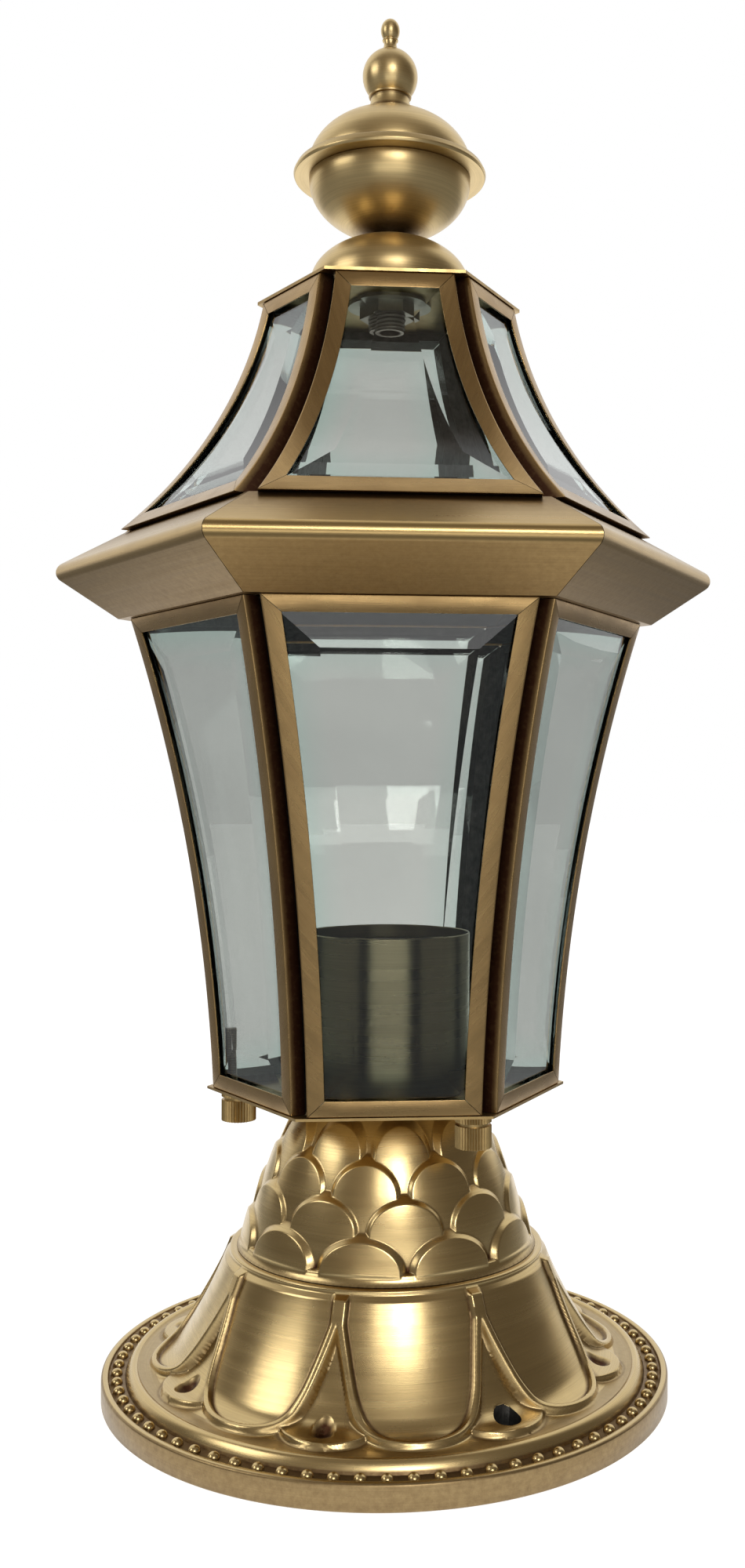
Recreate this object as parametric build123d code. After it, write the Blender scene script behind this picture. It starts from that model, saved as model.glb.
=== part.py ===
from build123d import *
import math
import os

# Pillar light: a six-sided glazed lantern on a scaled dome and a round petalled foot.
# Millimetres, +Z up, origin at the centre of the foot's underside, one pane facing -Y.
# A profile point is (distance from the lamp's axis, height).

# Fits
SEAT_GAP = 0.1  # pieces that rest on each other and come apart
SLIP_GAP = 0.3  # round a piece that drops into its seat
RUN_GAP = 0.05  # round a piece that turns, on the radius
SEAM = 0.12  # solder line at a mitre
OVERCUT = 1.0  # how far a cutter runs past what it cuts

# Foot
FOOT_R = 112.6
FOOT_WALL = 2.4
FOOT_RIM_HEIGHT = 9.8
FOOT_RIM_ROUND = 1.2
BEAD_COUNT = 76
BEAD_R = 2.1
BEAD_RING_INSET = 6.0  # pearls' ring inside the foot's edge
BEAD_CHANNEL_WIDTH = 6.4
BEAD_CHANNEL_DEPTH = 1.4
MOULDING_WIDTH = 5.2
MOULDING_RISE = 4.2  # above the bead channel
FLAT_HEIGHT = 11.9  # level ground between moulding and petals
GROUND_WIDTH = 4.2  # level ground inside the moulding
FLARE_KNEE_REACH = 11.8  # where the flare turns from tight to wide
FLARE_KNEE_RISE = 6.2
LIP_WIDTH = 4.1
FLARE_HEIGHT = 43.1  # from the level ground to the lip
LIP_RISE = 1.8
LIP_ROUND = 1.0
LEDGE_DEPTH = 3.8  # dome seat below the lip's top
LEDGE_THICKNESS = 2.5
LEDGE_WIDTH = 8.4  # under the dome's band

# Petals and ears on the foot
PETAL_COUNT = 8
PETAL_TURN = 5.0  # degrees from -Y to the nearest petal
PETAL_SPLIT_REACH = 7.8  # neighbouring rims part outside the lip
PETAL_END_ROUND = 22.0
PETAL_RIM_WIDTH = 4.2
PETAL_RIM_HEIGHT = 1.5
PETAL_SWELL = 0.9  # rise of the petal's middle line
PETAL_SWELL_SHIFT = 26.0  # axis of the swollen face, out along the petal
EAR_ROUND = 16.5
EAR_REACH = 2.0  # past the flare's foot
EAR_HEIGHT = 0.8
SCREW_INSET = 8.0  # inside the flare's foot
SCREW_HOLE_R = 5.0
SCREW_COUNT = 2
SCREW_BOSS_WALL = 3.5
SCREW_BOSS_GAP = 0.5  # boss above the foot's underside
DIMPLE_R = 4.6
DIMPLE_DEPTH = 2.2

# Scaled dome
DOME_WALL = 2.2
DOME_BAND_R = 58.4
DOME_BAND_HEIGHT = 6.0
DOME_SHOULDER = 2.4  # step from the band to the bowed wall
DOME_TOP_R = 29.0
DOME_HEIGHT = 65.5
DOME_BOW = 3.0
SCALE_COUNT = 10
SCALE_TURN = -12.7  # degrees from -Y to a scale of the lowest row
SCALE_ROWS = 4
SCALE_FIRST_TIP = 21.0  # above the dome's foot
SCALE_TOP_GAP = 5.5  # from the last tip to the dome's top
SCALE_LIFT = 2.4  # how far a tip stands out
SCALE_ROOT_LIFT = 0.6  # how far its lower end stands out
SCALE_FILL = 0.97  # share of the pitch that a scale takes

# Stem and strap that clamp the base together
STEM_R = 5.0
STEM_BORE_R = 3.4
STEM_NUT_FLATS = 16.0
STEM_NUT_HEIGHT = 5.0
STEM_WASHER_R = 11.0
STEM_WASHER_THICKNESS = 1.2
STEM_SPARE = 5.0  # thread past the lower nut
STEM_GRIP = 9.0  # thread inside the lampholder's cap
STRAP_OVERLAP = 6.0  # of the ledge at each end
STRAP_WIDTH = 22.0
STRAP_THICKNESS = 3.0
EARTH_SCREW_R = 2.0
EARTH_SCREW_HEAD_R = 4.0
EARTH_SCREW_HEAD_HEIGHT = 2.4
EARTH_SCREW_LENGTH = 9.0
EARTH_SCREW_OFFSET = 30.0

# Bottom plate and lamp cup
PLATE_OVERHANG = 0.4  # past the side frames
PLATE_THICKNESS = 1.0
CUP_R = 30.5
CUP_WALL = 0.8
CUP_HEIGHT = 62.0

# Lampholder for an E27 lamp
HOLDER_R = 20.5
HOLDER_NECK_R = 9.5
HOLDER_NECK_HEIGHT = 6.0
HOLDER_CAP_HEIGHT = 16.0
HOLDER_BODY_HEIGHT = 34.0
HOLDER_FLOOR = 6.0
HOLDER_WALL = 3.0
HOLDER_LIP = 4.2  # inward lip above the shell
HOLDER_LEDGE = 2.0  # width of the ledge under the shell
SOCKET_R = 13.2
SOCKET_WALL = 0.5
CONTACT_R = 4.5
CONTACT_HEIGHT = 5.0

# Glazed panels
SIDES = 6
CHANNEL_SHEET = 0.7
CHANNEL_FACE = 6.5  # seen width of a stile
CHANNEL_RAIL = 6.0  # seen height of a rail
GLASS_THICKNESS = 4.8
GLASS_GAP = 0.15
BEVEL_WIDTH = 17.0
BEVEL_DEPTH = 2.4
BODY_BOTTOM_FLATS = 124.0
BODY_TOP_FLATS = 181.5
BODY_HEIGHT = 186.4
BODY_BOW = -5.4
ROOF_BOTTOM_FLATS = 189.4
ROOF_TOP_FLATS = 91.0
ROOF_HEIGHT = 91.7
ROOF_BOW = -8.5

# Eave between body and roof
EAVE_SHEET = 1.0
EAVE_FLATS = 229.4
EAVE_BEAD_R = 4.2
EAVE_BEAD_RISE = 18.2  # bead's centre above the body
EAVE_HEIGHT = 34.8
EAVE_TOP_INSET = 4.0  # upper slope starts behind the roof frames' face
EAVE_BOTTOM_REVEAL = 2.7  # lower slope ends before the side frames' face
EAVE_FLANGE = 8.0  # width of the inner flanges

# Studs and thumb nuts
STUD_COUNT = 3
STUD_FIRST_ANGLE = -60.0
STUD_INSET = 4.5  # from the frames' inner corner
STUD_R = 2.0
STUD_RISE = 22.0  # above the gusset
GUSSET_LEG = 16.0
GUSSET_THICKNESS = 1.5
NUT_R = 6.9
NUT_COLLAR_HEIGHT = 3.0
NUT_GROOVE_HEIGHT = 1.2
NUT_GROOVE_DEPTH = 0.9
NUT_BARREL_HEIGHT = 8.3
NUT_BORE_DEPTH = 10.0
NUT_TEETH = 36
NUT_TOOTH_DEPTH = 0.45

# Urn and finial above the roof
TOP_PLATE_OVERHANG = 0.4
TOP_PLATE_THICKNESS = 1.2
SPUN_WALL = 1.0
COLLAR_R = 32.1
COLLAR_SKIRT = 7.8
COLLAR_RISE = 19.1
COLLAR_FLANGE = 1.8
COLLAR_FLANGE_HEIGHT = 1.2
BOWL_R = 32.5
BOWL_DEPTH = 22.1
BOWL_BRIM = 1.8
LID_RIM_WIDTH = 5.9
LID_RIM_HEIGHT = 3.9
LID_RIM_TAPER = 1.4
LID_SIDE = 0.5  # lid's dome past the bowl
LID_RISE = 23.1
LID_LAND_R = 10.2
NIPPLE_R = 6.35
NIPPLE_BORE_R = 4.2
NIPPLE_DROP = 11.4  # below the top plate
NIPPLE_GRIP = 6.5  # inside the finial
NIPPLE_WASHER_R = 14.5
NIPPLE_WASHER_THICKNESS = 1.5
NIPPLE_NUT_FLATS = 17.0
NIPPLE_NUT_HEIGHT = 4.8
FINIAL_BASE_R = 9.4
FINIAL_BASE_HEIGHT = 1.6
FINIAL_NECK_R = 7.8
FINIAL_NECK_HEIGHT = 6.0
FINIAL_BALL_R = 11.1
FINIAL_RING_WIDTH = 1.1
FINIAL_RING_HEIGHT = 1.0
TIP_STEM_R = 2.6
TIP_STEM_HEIGHT = 4.4
TIP_RING_R = 3.2
TIP_RING_HEIGHT = 1.0
TIP_KNOB_R = 3.8
TIP_KNOB_RISE = 4.7  # half height of the oval knob
TIP_TENON_R = 1.6
TIP_TENON_DEPTH = 4.0

# Worked out from the sizes above
HALF_SIDE = math.pi / SIDES
BEAD_RING_R = FOOT_R - BEAD_RING_INSET
MOULDING_INNER_R = BEAD_RING_R - BEAD_CHANNEL_WIDTH / 2 - MOULDING_WIDTH
FLARE_FOOT_R = MOULDING_INNER_R - GROUND_WIDTH
FLARE_KNEE_R = FLARE_FOOT_R - FLARE_KNEE_REACH
EAR_END_R = FLARE_FOOT_R + EAR_REACH
SCREW_RING_R = FLARE_FOOT_R - SCREW_INSET
LIP_R = DOME_BAND_R + SLIP_GAP + LIP_WIDTH
PETAL_SPLIT_R = LIP_R + PETAL_SPLIT_REACH
LEDGE_HOLE_R = DOME_BAND_R - LEDGE_WIDTH
DOME_SHOULDER_R = DOME_BAND_R - DOME_SHOULDER
SCALE_ROW_PITCH = (DOME_HEIGHT - SCALE_FIRST_TIP - SCALE_TOP_GAP) / (SCALE_ROWS - 1)
SCALE_HALF_HEIGHT = SCALE_ROW_PITCH
CHANNEL_DEPTH = 2 * (CHANNEL_SHEET + GLASS_GAP) + GLASS_THICKNESS
INNER_FLAT = BODY_BOTTOM_FLATS / 2 - CHANNEL_DEPTH - SEAT_GAP
INNER_CORNER_R = INNER_FLAT / math.cos(HALF_SIDE)
STUD_RING_R = INNER_CORNER_R - STUD_INSET
LID_R = BOWL_R + LID_SIDE
LID_RIM_R = LID_R + LID_RIM_WIDTH
LIP_HEIGHT = FLAT_HEIGHT + FLARE_HEIGHT
LIP_TOP = LIP_HEIGHT + LIP_RISE
LEDGE_TOP = LIP_TOP - LEDGE_DEPTH
LEDGE_UNDERSIDE = LEDGE_TOP - LEDGE_THICKNESS
DOME_TOP = LEDGE_TOP + DOME_HEIGHT
PLATE_TOP = DOME_TOP + PLATE_THICKNESS
CUP_FLOOR_TOP = PLATE_TOP + CUP_WALL
HOLDER_BOTTOM = CUP_FLOOR_TOP + STEM_WASHER_THICKNESS + STEM_NUT_HEIGHT
HOLDER_BODY_BOTTOM = HOLDER_BOTTOM + HOLDER_CAP_HEIGHT
BODY_BOTTOM = PLATE_TOP + SEAT_GAP
BODY_TOP = BODY_BOTTOM + BODY_HEIGHT
EAVE_BOTTOM = BODY_TOP + SEAT_GAP
EAVE_TOP = EAVE_BOTTOM + EAVE_HEIGHT
ROOF_BOTTOM = EAVE_TOP + SEAT_GAP
ROOF_TOP = ROOF_BOTTOM + ROOF_HEIGHT
TOP_PLATE_BOTTOM = ROOF_TOP + SEAT_GAP
TOP_PLATE_TOP = TOP_PLATE_BOTTOM + TOP_PLATE_THICKNESS
COLLAR_SHOULDER = TOP_PLATE_TOP + COLLAR_SKIRT
BOWL_BOTTOM = COLLAR_SHOULDER + COLLAR_RISE + SEAT_GAP
BOWL_TOP = BOWL_BOTTOM + BOWL_DEPTH + BOWL_BRIM
LID_BOTTOM = BOWL_TOP + SEAT_GAP
LID_SHOULDER = LID_BOTTOM + LID_RIM_HEIGHT
FINIAL_GAP = 2 * SEAT_GAP


def turned(*edges):
    """Solid of revolution about the lamp's axis from the edges of a closed profile."""
    return revolve(Plane.XZ * make_face(edges), Axis.Z)


def turned_polygon(*points):
    """Solid of revolution about the lamp's axis from the corners of a closed profile."""
    return turned(*Polyline(*points, close=True).edges())


def ring(outer_r, inner_r, bottom, height):
    """Flat ring about the lamp's axis."""
    top = bottom + height
    return turned_polygon((inner_r, bottom), (outer_r, bottom), (outer_r, top), (inner_r, top))


def hexagon_nut(flats, bore_r, bottom, height):
    """Hexagon nut about the lamp's axis."""
    outline = RegularPolygon(flats / 2, 6, major_radius=False) - Circle(bore_r)
    return Pos(0, 0, bottom) * extrude(outline, height)


def around(shape, count, first_angle=0.0):
    """Copies of a shape, evenly spaced about the lamp's axis."""
    return [Rot(0, 0, first_angle + 360.0 * index / count) * shape for index in range(count)]


def tangent_point(start, center, radius, sign):
    """Point where a line from start touches a circle, on the side given by sign."""
    dx = start[0] - center[0]
    dz = start[1] - center[1]
    angle = math.atan2(dz, dx) + sign * math.acos(radius / math.hypot(dx, dz))
    return (center[0] + radius * math.cos(angle), center[1] + radius * math.sin(angle))


class Bow:
    """Circular profile between two points, swelling out by bow or, if negative, drawn in."""

    def __init__(self, low, high, bow):
        chord = math.dist(low, high)
        out = ((high[1] - low[1]) / chord, (low[0] - high[0]) / chord)
        self.sign = math.copysign(1.0, bow)
        self.radius = chord**2 / (8 * abs(bow)) + abs(bow) / 2
        reach = bow - self.sign * self.radius
        self.center = ((low[0] + high[0]) / 2 + out[0] * reach, (low[1] + high[1]) / 2 + out[1] * reach)

    def at(self, height, inset=0.0):
        """Distance from the axis at a height, on the profile moved in by inset."""
        rise = height - self.center[1]
        return self.center[0] + self.sign * math.sqrt((self.radius - self.sign * inset) ** 2 - rise**2)

    def edge(self, start, end, inset=0.0):
        """Arc between two heights, on the profile moved in by inset."""
        heights = (start, (start + end) / 2, end)
        return ThreePointArc(*[(self.at(height, inset), height) for height in heights])


# Foot: a hollow cast bell with relief


def flare_edges(shift):
    """The foot's flare, from the level ground up to the lip, moved out and up by shift."""
    start = (FLARE_FOOT_R + shift, FLAT_HEIGHT + shift)
    knee = (FLARE_KNEE_R + shift, FLAT_HEIGHT + FLARE_KNEE_RISE + shift)
    lip = (LIP_R + shift, LIP_HEIGHT + shift)
    tight = TangentArc(start, knee, tangent=(-1, 0))
    wide = TangentArc(knee, lip, tangent=tight % 1)
    return [tight, wide]


def foot_blank():
    """The foot without relief and without its hollow."""
    channel_floor = FOOT_RIM_HEIGHT - BEAD_CHANNEL_DEPTH
    channel_out = BEAD_RING_R + BEAD_CHANNEL_WIDTH / 2
    channel_in = MOULDING_INNER_R + MOULDING_WIDTH
    moulding_top = (channel_in - MOULDING_WIDTH / 2, channel_floor + MOULDING_RISE)
    rim_edge = (FOOT_R - FOOT_RIM_ROUND, FOOT_RIM_HEIGHT)
    rim_side = (FOOT_R, FOOT_RIM_HEIGHT - FOOT_RIM_ROUND)
    lip_edge = (LIP_R, LIP_TOP - LIP_ROUND)
    lip_top = (LIP_R - LIP_ROUND, LIP_TOP)
    channel = [(channel_out, FOOT_RIM_HEIGHT), (channel_out, channel_floor), (channel_in, channel_floor)]
    flare = flare_edges(0)
    return turned(
        *Polyline((0, 0), (FOOT_R, 0), rim_side).edges(),
        TangentArc(rim_side, rim_edge, tangent=(0, 1)),
        *Polyline(rim_edge, *channel).edges(),
        ThreePointArc(channel[-1], moulding_top, (MOULDING_INNER_R, FLAT_HEIGHT)),
        Line((MOULDING_INNER_R, FLAT_HEIGHT), flare[0] @ 0),
        *flare,
        Line(flare[1] @ 1, lip_edge),
        TangentArc(lip_edge, lip_top, tangent=(0, 1)),
        *Polyline(lip_top, (0, LIP_TOP), (0, 0)).edges(),
    )


def relief_body(shift, axis_shift=0.0):
    """Everything under the flare moved out by shift, turned about an axis moved out along +X."""
    flare = [Pos(-axis_shift, 0) * edge for edge in flare_edges(shift)]
    ground = MOULDING_INNER_R - axis_shift
    start = flare[0] @ 0
    end = flare[1] @ 1
    floor = Polyline((0, end.Y), (0, 0), (ground, 0), (ground, start.Y), start)
    return Pos(axis_shift, 0, 0) * turned(*floor.edges(), *flare, Line(end, (0, end.Y)))


def petal_outline():
    """Plan of one petal out along +X: two ridges, two straight sides and a round end."""
    half_pitch = math.pi / PETAL_COUNT
    center = (FLARE_FOOT_R - PETAL_END_ROUND, 0)
    split = (PETAL_SPLIT_R * math.cos(half_pitch), PETAL_SPLIT_R * math.sin(half_pitch))
    touch = tangent_point(split, center, PETAL_END_ROUND, -1)
    root = (LEDGE_HOLE_R, LEDGE_HOLE_R * math.tan(half_pitch))
    upper = [root, split, touch]
    lower = [(x, -y) for x, y in upper]
    end = ThreePointArc(lower[-1], (FLARE_FOOT_R, 0), touch)
    return make_face([*Polyline(*reversed(upper), *lower).edges(), end])


def petal():
    """One petal: a raised rim round a face that swells across its width."""
    outline = petal_outline()
    inner = offset(outline, -PETAL_RIM_WIDTH)
    under_rim = offset(outline, -PETAL_RIM_WIDTH / 2)
    rim = extrude(outline - inner, LIP_TOP + PETAL_RIM_HEIGHT) & relief_body(PETAL_RIM_HEIGHT)
    face = extrude(under_rim, LIP_TOP) & relief_body(PETAL_SWELL, PETAL_SWELL_SHIFT)
    return [rim, face]


def ear():
    """One ear between two petals, out along +X."""
    outline = Pos(EAR_END_R - EAR_ROUND, 0) * Circle(EAR_ROUND)
    return extrude(outline, LIP_TOP) & relief_body(EAR_HEIGHT)


def foot_hollow(first_screw):
    """The space under the foot, with the ledge and the screw bosses left standing."""
    flare = flare_edges(-FOOT_WALL)
    start = flare[0] @ 0
    end = flare[1] @ 1
    side = FOOT_R - FOOT_WALL
    ceiling = FOOT_RIM_HEIGHT - BEAD_CHANNEL_DEPTH - FOOT_WALL
    step = MOULDING_INNER_R + MOULDING_WIDTH - FOOT_WALL
    floor = Polyline(
        (0, end.Y), (0, -OVERCUT), (side, -OVERCUT), (side, ceiling), (step, ceiling), (step, start.Y), start
    )
    space = turned(*floor.edges(), *flare, Line(end, (0, end.Y)))
    space &= ring(FOOT_R, 0, -OVERCUT, LEDGE_UNDERSIDE + OVERCUT)
    boss_middle = SCREW_BOSS_GAP + LIP_TOP / 2
    boss = Pos(SCREW_RING_R, 0, boss_middle) * Cylinder(SCREW_HOLE_R + SCREW_BOSS_WALL, LIP_TOP)
    return space - around(boss, SCREW_COUNT, first_screw)


def petal_foot():
    """The cast foot."""
    pitch = 360.0 / PETAL_COUNT
    first_petal = PETAL_TURN - 90.0
    first_ear = first_petal + pitch / 2
    ear_ground = FLAT_HEIGHT + FLARE_KNEE_RISE * (FLARE_FOOT_R - SCREW_RING_R) / (FLARE_FOOT_R - FLARE_KNEE_R)
    relief = [copy for piece in petal() for copy in around(piece, PETAL_COUNT, first_petal)]
    relief += around(ear(), PETAL_COUNT, first_ear)
    bead = Pos(BEAD_RING_R, 0, FOOT_RIM_HEIGHT - BEAD_CHANNEL_DEPTH) * Sphere(BEAD_R)
    relief += around(bead, BEAD_COUNT)
    screw_hole = Pos(SCREW_RING_R, 0, LIP_TOP / 2) * Cylinder(SCREW_HOLE_R, LIP_TOP + OVERCUT)
    dimple = Pos(SCREW_RING_R, 0, ear_ground + DIMPLE_R - DIMPLE_DEPTH) * Sphere(DIMPLE_R)
    ears = around(dimple, PETAL_COUNT, first_ear)
    screw_step = PETAL_COUNT // SCREW_COUNT
    dimples = [copy for index, copy in enumerate(ears) if index % screw_step]
    screw_holes = around(screw_hole, SCREW_COUNT, first_ear)
    seat = ring(DOME_BAND_R + SLIP_GAP, 0, LEDGE_TOP, LEDGE_DEPTH + OVERCUT)
    opening = ring(LEDGE_HOLE_R, 0, LEDGE_UNDERSIDE - OVERCUT, LEDGE_DEPTH + LEDGE_THICKNESS + OVERCUT)
    body = foot_blank() + relief
    return body - [foot_hollow(first_ear), seat, opening, *screw_holes, *dimples]


# Scaled dome

DOME_LINE = Bow((DOME_SHOULDER_R, LEDGE_TOP + DOME_BAND_HEIGHT), (DOME_TOP_R, DOME_TOP), DOME_BOW)


def dome_shell():
    """The dome without its scales: a band, a bowed wall and a closed top with the stem's hole."""
    shoulder = LEDGE_TOP + DOME_BAND_HEIGHT
    roof = DOME_TOP - DOME_WALL
    inner_r = DOME_BAND_R - DOME_WALL
    wall = DOME_LINE.edge(shoulder, DOME_TOP)
    inside = DOME_LINE.edge(roof, shoulder, DOME_WALL)
    hole = STEM_R + SLIP_GAP
    return turned(
        *Polyline((inner_r, LEDGE_TOP), (DOME_BAND_R, LEDGE_TOP), (DOME_BAND_R, shoulder), wall @ 0).edges(),
        wall,
        *Polyline(wall @ 1, (hole, DOME_TOP), (hole, roof), inside @ 0).edges(),
        inside,
        Line(inside @ 1, (inner_r, LEDGE_TOP)),
    )


def scale(tip):
    """One scale out along +X: a leaning wedge with an oval outline, its tip at the given height."""
    middle = tip - SCALE_HALF_HEIGHT
    root = middle - SCALE_HALF_HEIGHT
    core = DOME_WALL / 2
    wedge = turned_polygon(
        (DOME_LINE.at(root) - core, root),
        (DOME_LINE.at(root) + SCALE_ROOT_LIFT, root),
        (DOME_LINE.at(tip) + SCALE_LIFT, tip),
        (DOME_LINE.at(tip) - core, tip),
    )
    half_width = SCALE_FILL * DOME_LINE.at(middle) * math.sin(math.pi / SCALE_COUNT)
    oval = Plane.YZ * Pos(0, middle) * Ellipse(half_width, SCALE_HALF_HEIGHT)
    above_band = ring(DOME_BAND_R + SCALE_LIFT, 0, LEDGE_TOP + DOME_BAND_HEIGHT - core, DOME_HEIGHT)
    return wedge & extrude(oval, DOME_BAND_R + SCALE_LIFT) & above_band


def scale_dome():
    """The dome with its rows of scales, each row turned by half a scale."""
    half_pitch = 180.0 / SCALE_COUNT
    dome = dome_shell()
    for row in range(SCALE_ROWS):
        tip = LEDGE_TOP + SCALE_FIRST_TIP + row * SCALE_ROW_PITCH
        dome += around(scale(tip), SCALE_COUNT, SCALE_TURN - 90.0 + row * half_pitch)
    return dome


# Stem, strap and small hardware of the base


def stem_parts():
    """Stem tube with its two nuts and washers."""
    strap_bottom = LEDGE_UNDERSIDE - STRAP_THICKNESS
    low_nut_top = strap_bottom - STEM_WASHER_THICKNESS
    bottom = low_nut_top - STEM_NUT_HEIGHT - STEM_SPARE
    bore = STEM_R + RUN_GAP
    tube = ring(STEM_R, STEM_BORE_R, bottom, HOLDER_BOTTOM + STEM_GRIP - bottom)
    washers = [
        ring(STEM_WASHER_R, bore, low_nut_top, STEM_WASHER_THICKNESS),
        ring(STEM_WASHER_R, bore, CUP_FLOOR_TOP, STEM_WASHER_THICKNESS),
    ]
    nuts = [
        hexagon_nut(STEM_NUT_FLATS, bore, low_nut_top - STEM_NUT_HEIGHT, STEM_NUT_HEIGHT),
        hexagon_nut(STEM_NUT_FLATS, bore, CUP_FLOOR_TOP + STEM_WASHER_THICKNESS, STEM_NUT_HEIGHT),
    ]
    return {"stem_tube": tube, "stem_washers": Compound(washers), "stem_nuts": Compound(nuts)}


def strap_parts():
    """Cross bar under the ledge and the earth screw in it."""
    bottom = LEDGE_UNDERSIDE - STRAP_THICKNESS
    holes = Circle(STEM_R + SLIP_GAP) + Pos(EARTH_SCREW_OFFSET, 0) * Circle(EARTH_SCREW_R + RUN_GAP)
    bar = SlotOverall(2 * (LEDGE_HOLE_R + STRAP_OVERLAP), STRAP_WIDTH) - holes
    shank = Cylinder(EARTH_SCREW_R, EARTH_SCREW_LENGTH, align=(Align.CENTER, Align.CENTER, Align.MIN))
    head = Cylinder(EARTH_SCREW_HEAD_R, EARTH_SCREW_HEAD_HEIGHT, align=(Align.CENTER, Align.CENTER, Align.MAX))
    screw = Pos(EARTH_SCREW_OFFSET, 0, bottom) * (shank + head)
    return {"clamp_strap": Pos(0, 0, bottom) * extrude(bar, STRAP_THICKNESS), "earth_screw": screw}


def plate_and_cup():
    """Six-sided plate under the lantern and the open cup on it."""
    stud_hole = Pos(STUD_RING_R, 0) * Circle(STUD_R + SLIP_GAP)
    stem_hole = Circle(STEM_R + SLIP_GAP)
    outline = RegularPolygon(BODY_BOTTOM_FLATS / 2 + PLATE_OVERHANG, SIDES, major_radius=False) - stem_hole
    outline -= around(stud_hole, STUD_COUNT, STUD_FIRST_ANGLE)
    inner = CUP_R - CUP_WALL
    cup = ring(CUP_R, inner, PLATE_TOP, CUP_HEIGHT) + ring(CUP_R, STEM_R + SLIP_GAP, PLATE_TOP, CUP_WALL)
    return {"bottom_plate": Pos(0, 0, DOME_TOP) * extrude(outline, PLATE_THICKNESS), "lamp_cup": cup}


def lampholder_parts():
    """Screw lampholder: cap on the stem, body, screw shell and middle contact."""
    neck_top = HOLDER_BOTTOM + HOLDER_NECK_HEIGHT
    cap_top = HOLDER_BODY_BOTTOM
    cone_top = neck_top + (HOLDER_R - HOLDER_NECK_R) / 2
    room_bottom = HOLDER_BOTTOM + STEM_GRIP
    room_r = HOLDER_R - HOLDER_WALL
    bore = STEM_R + RUN_GAP
    cap = turned_polygon(
        (bore, HOLDER_BOTTOM),
        (HOLDER_NECK_R, HOLDER_BOTTOM),
        (HOLDER_NECK_R, neck_top),
        (HOLDER_R, cone_top),
        (HOLDER_R, cap_top),
        (room_r, cap_top),
        (room_r, cone_top),
        (bore, room_bottom),
    )
    shell_r = SOCKET_R + SOCKET_WALL
    floor_top = cap_top + HOLDER_FLOOR
    contact_top = floor_top + CONTACT_HEIGHT
    body_top = cap_top + HOLDER_BODY_HEIGHT
    lip_bottom = body_top - HOLDER_LIP
    body = turned_polygon(
        (CONTACT_R / 2 + RUN_GAP, cap_top),
        (HOLDER_R, cap_top),
        (HOLDER_R, body_top),
        (SOCKET_R + SLIP_GAP, body_top),
        (SOCKET_R + SLIP_GAP, lip_bottom),
        (shell_r + RUN_GAP, lip_bottom),
        (shell_r + RUN_GAP, contact_top),
        (shell_r - HOLDER_LEDGE, contact_top),
        (shell_r - HOLDER_LEDGE, floor_top),
        (CONTACT_R / 2 + RUN_GAP, floor_top),
    )
    shell = ring(shell_r, SOCKET_R, contact_top, lip_bottom - SEAT_GAP - contact_top)
    contact = turned_polygon(
        (0, cap_top),
        (CONTACT_R / 2, cap_top),
        (CONTACT_R / 2, floor_top),
        (CONTACT_R, floor_top),
        (CONTACT_R / 2, contact_top),
        (0, contact_top),
    )
    return {
        "lampholder_cap": cap,
        "lampholder_body": body,
        "lampholder_shell": shell,
        "lampholder_contact": contact,
    }


# Glazed panels: mitred channel strips round a bent bevelled pane


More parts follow.
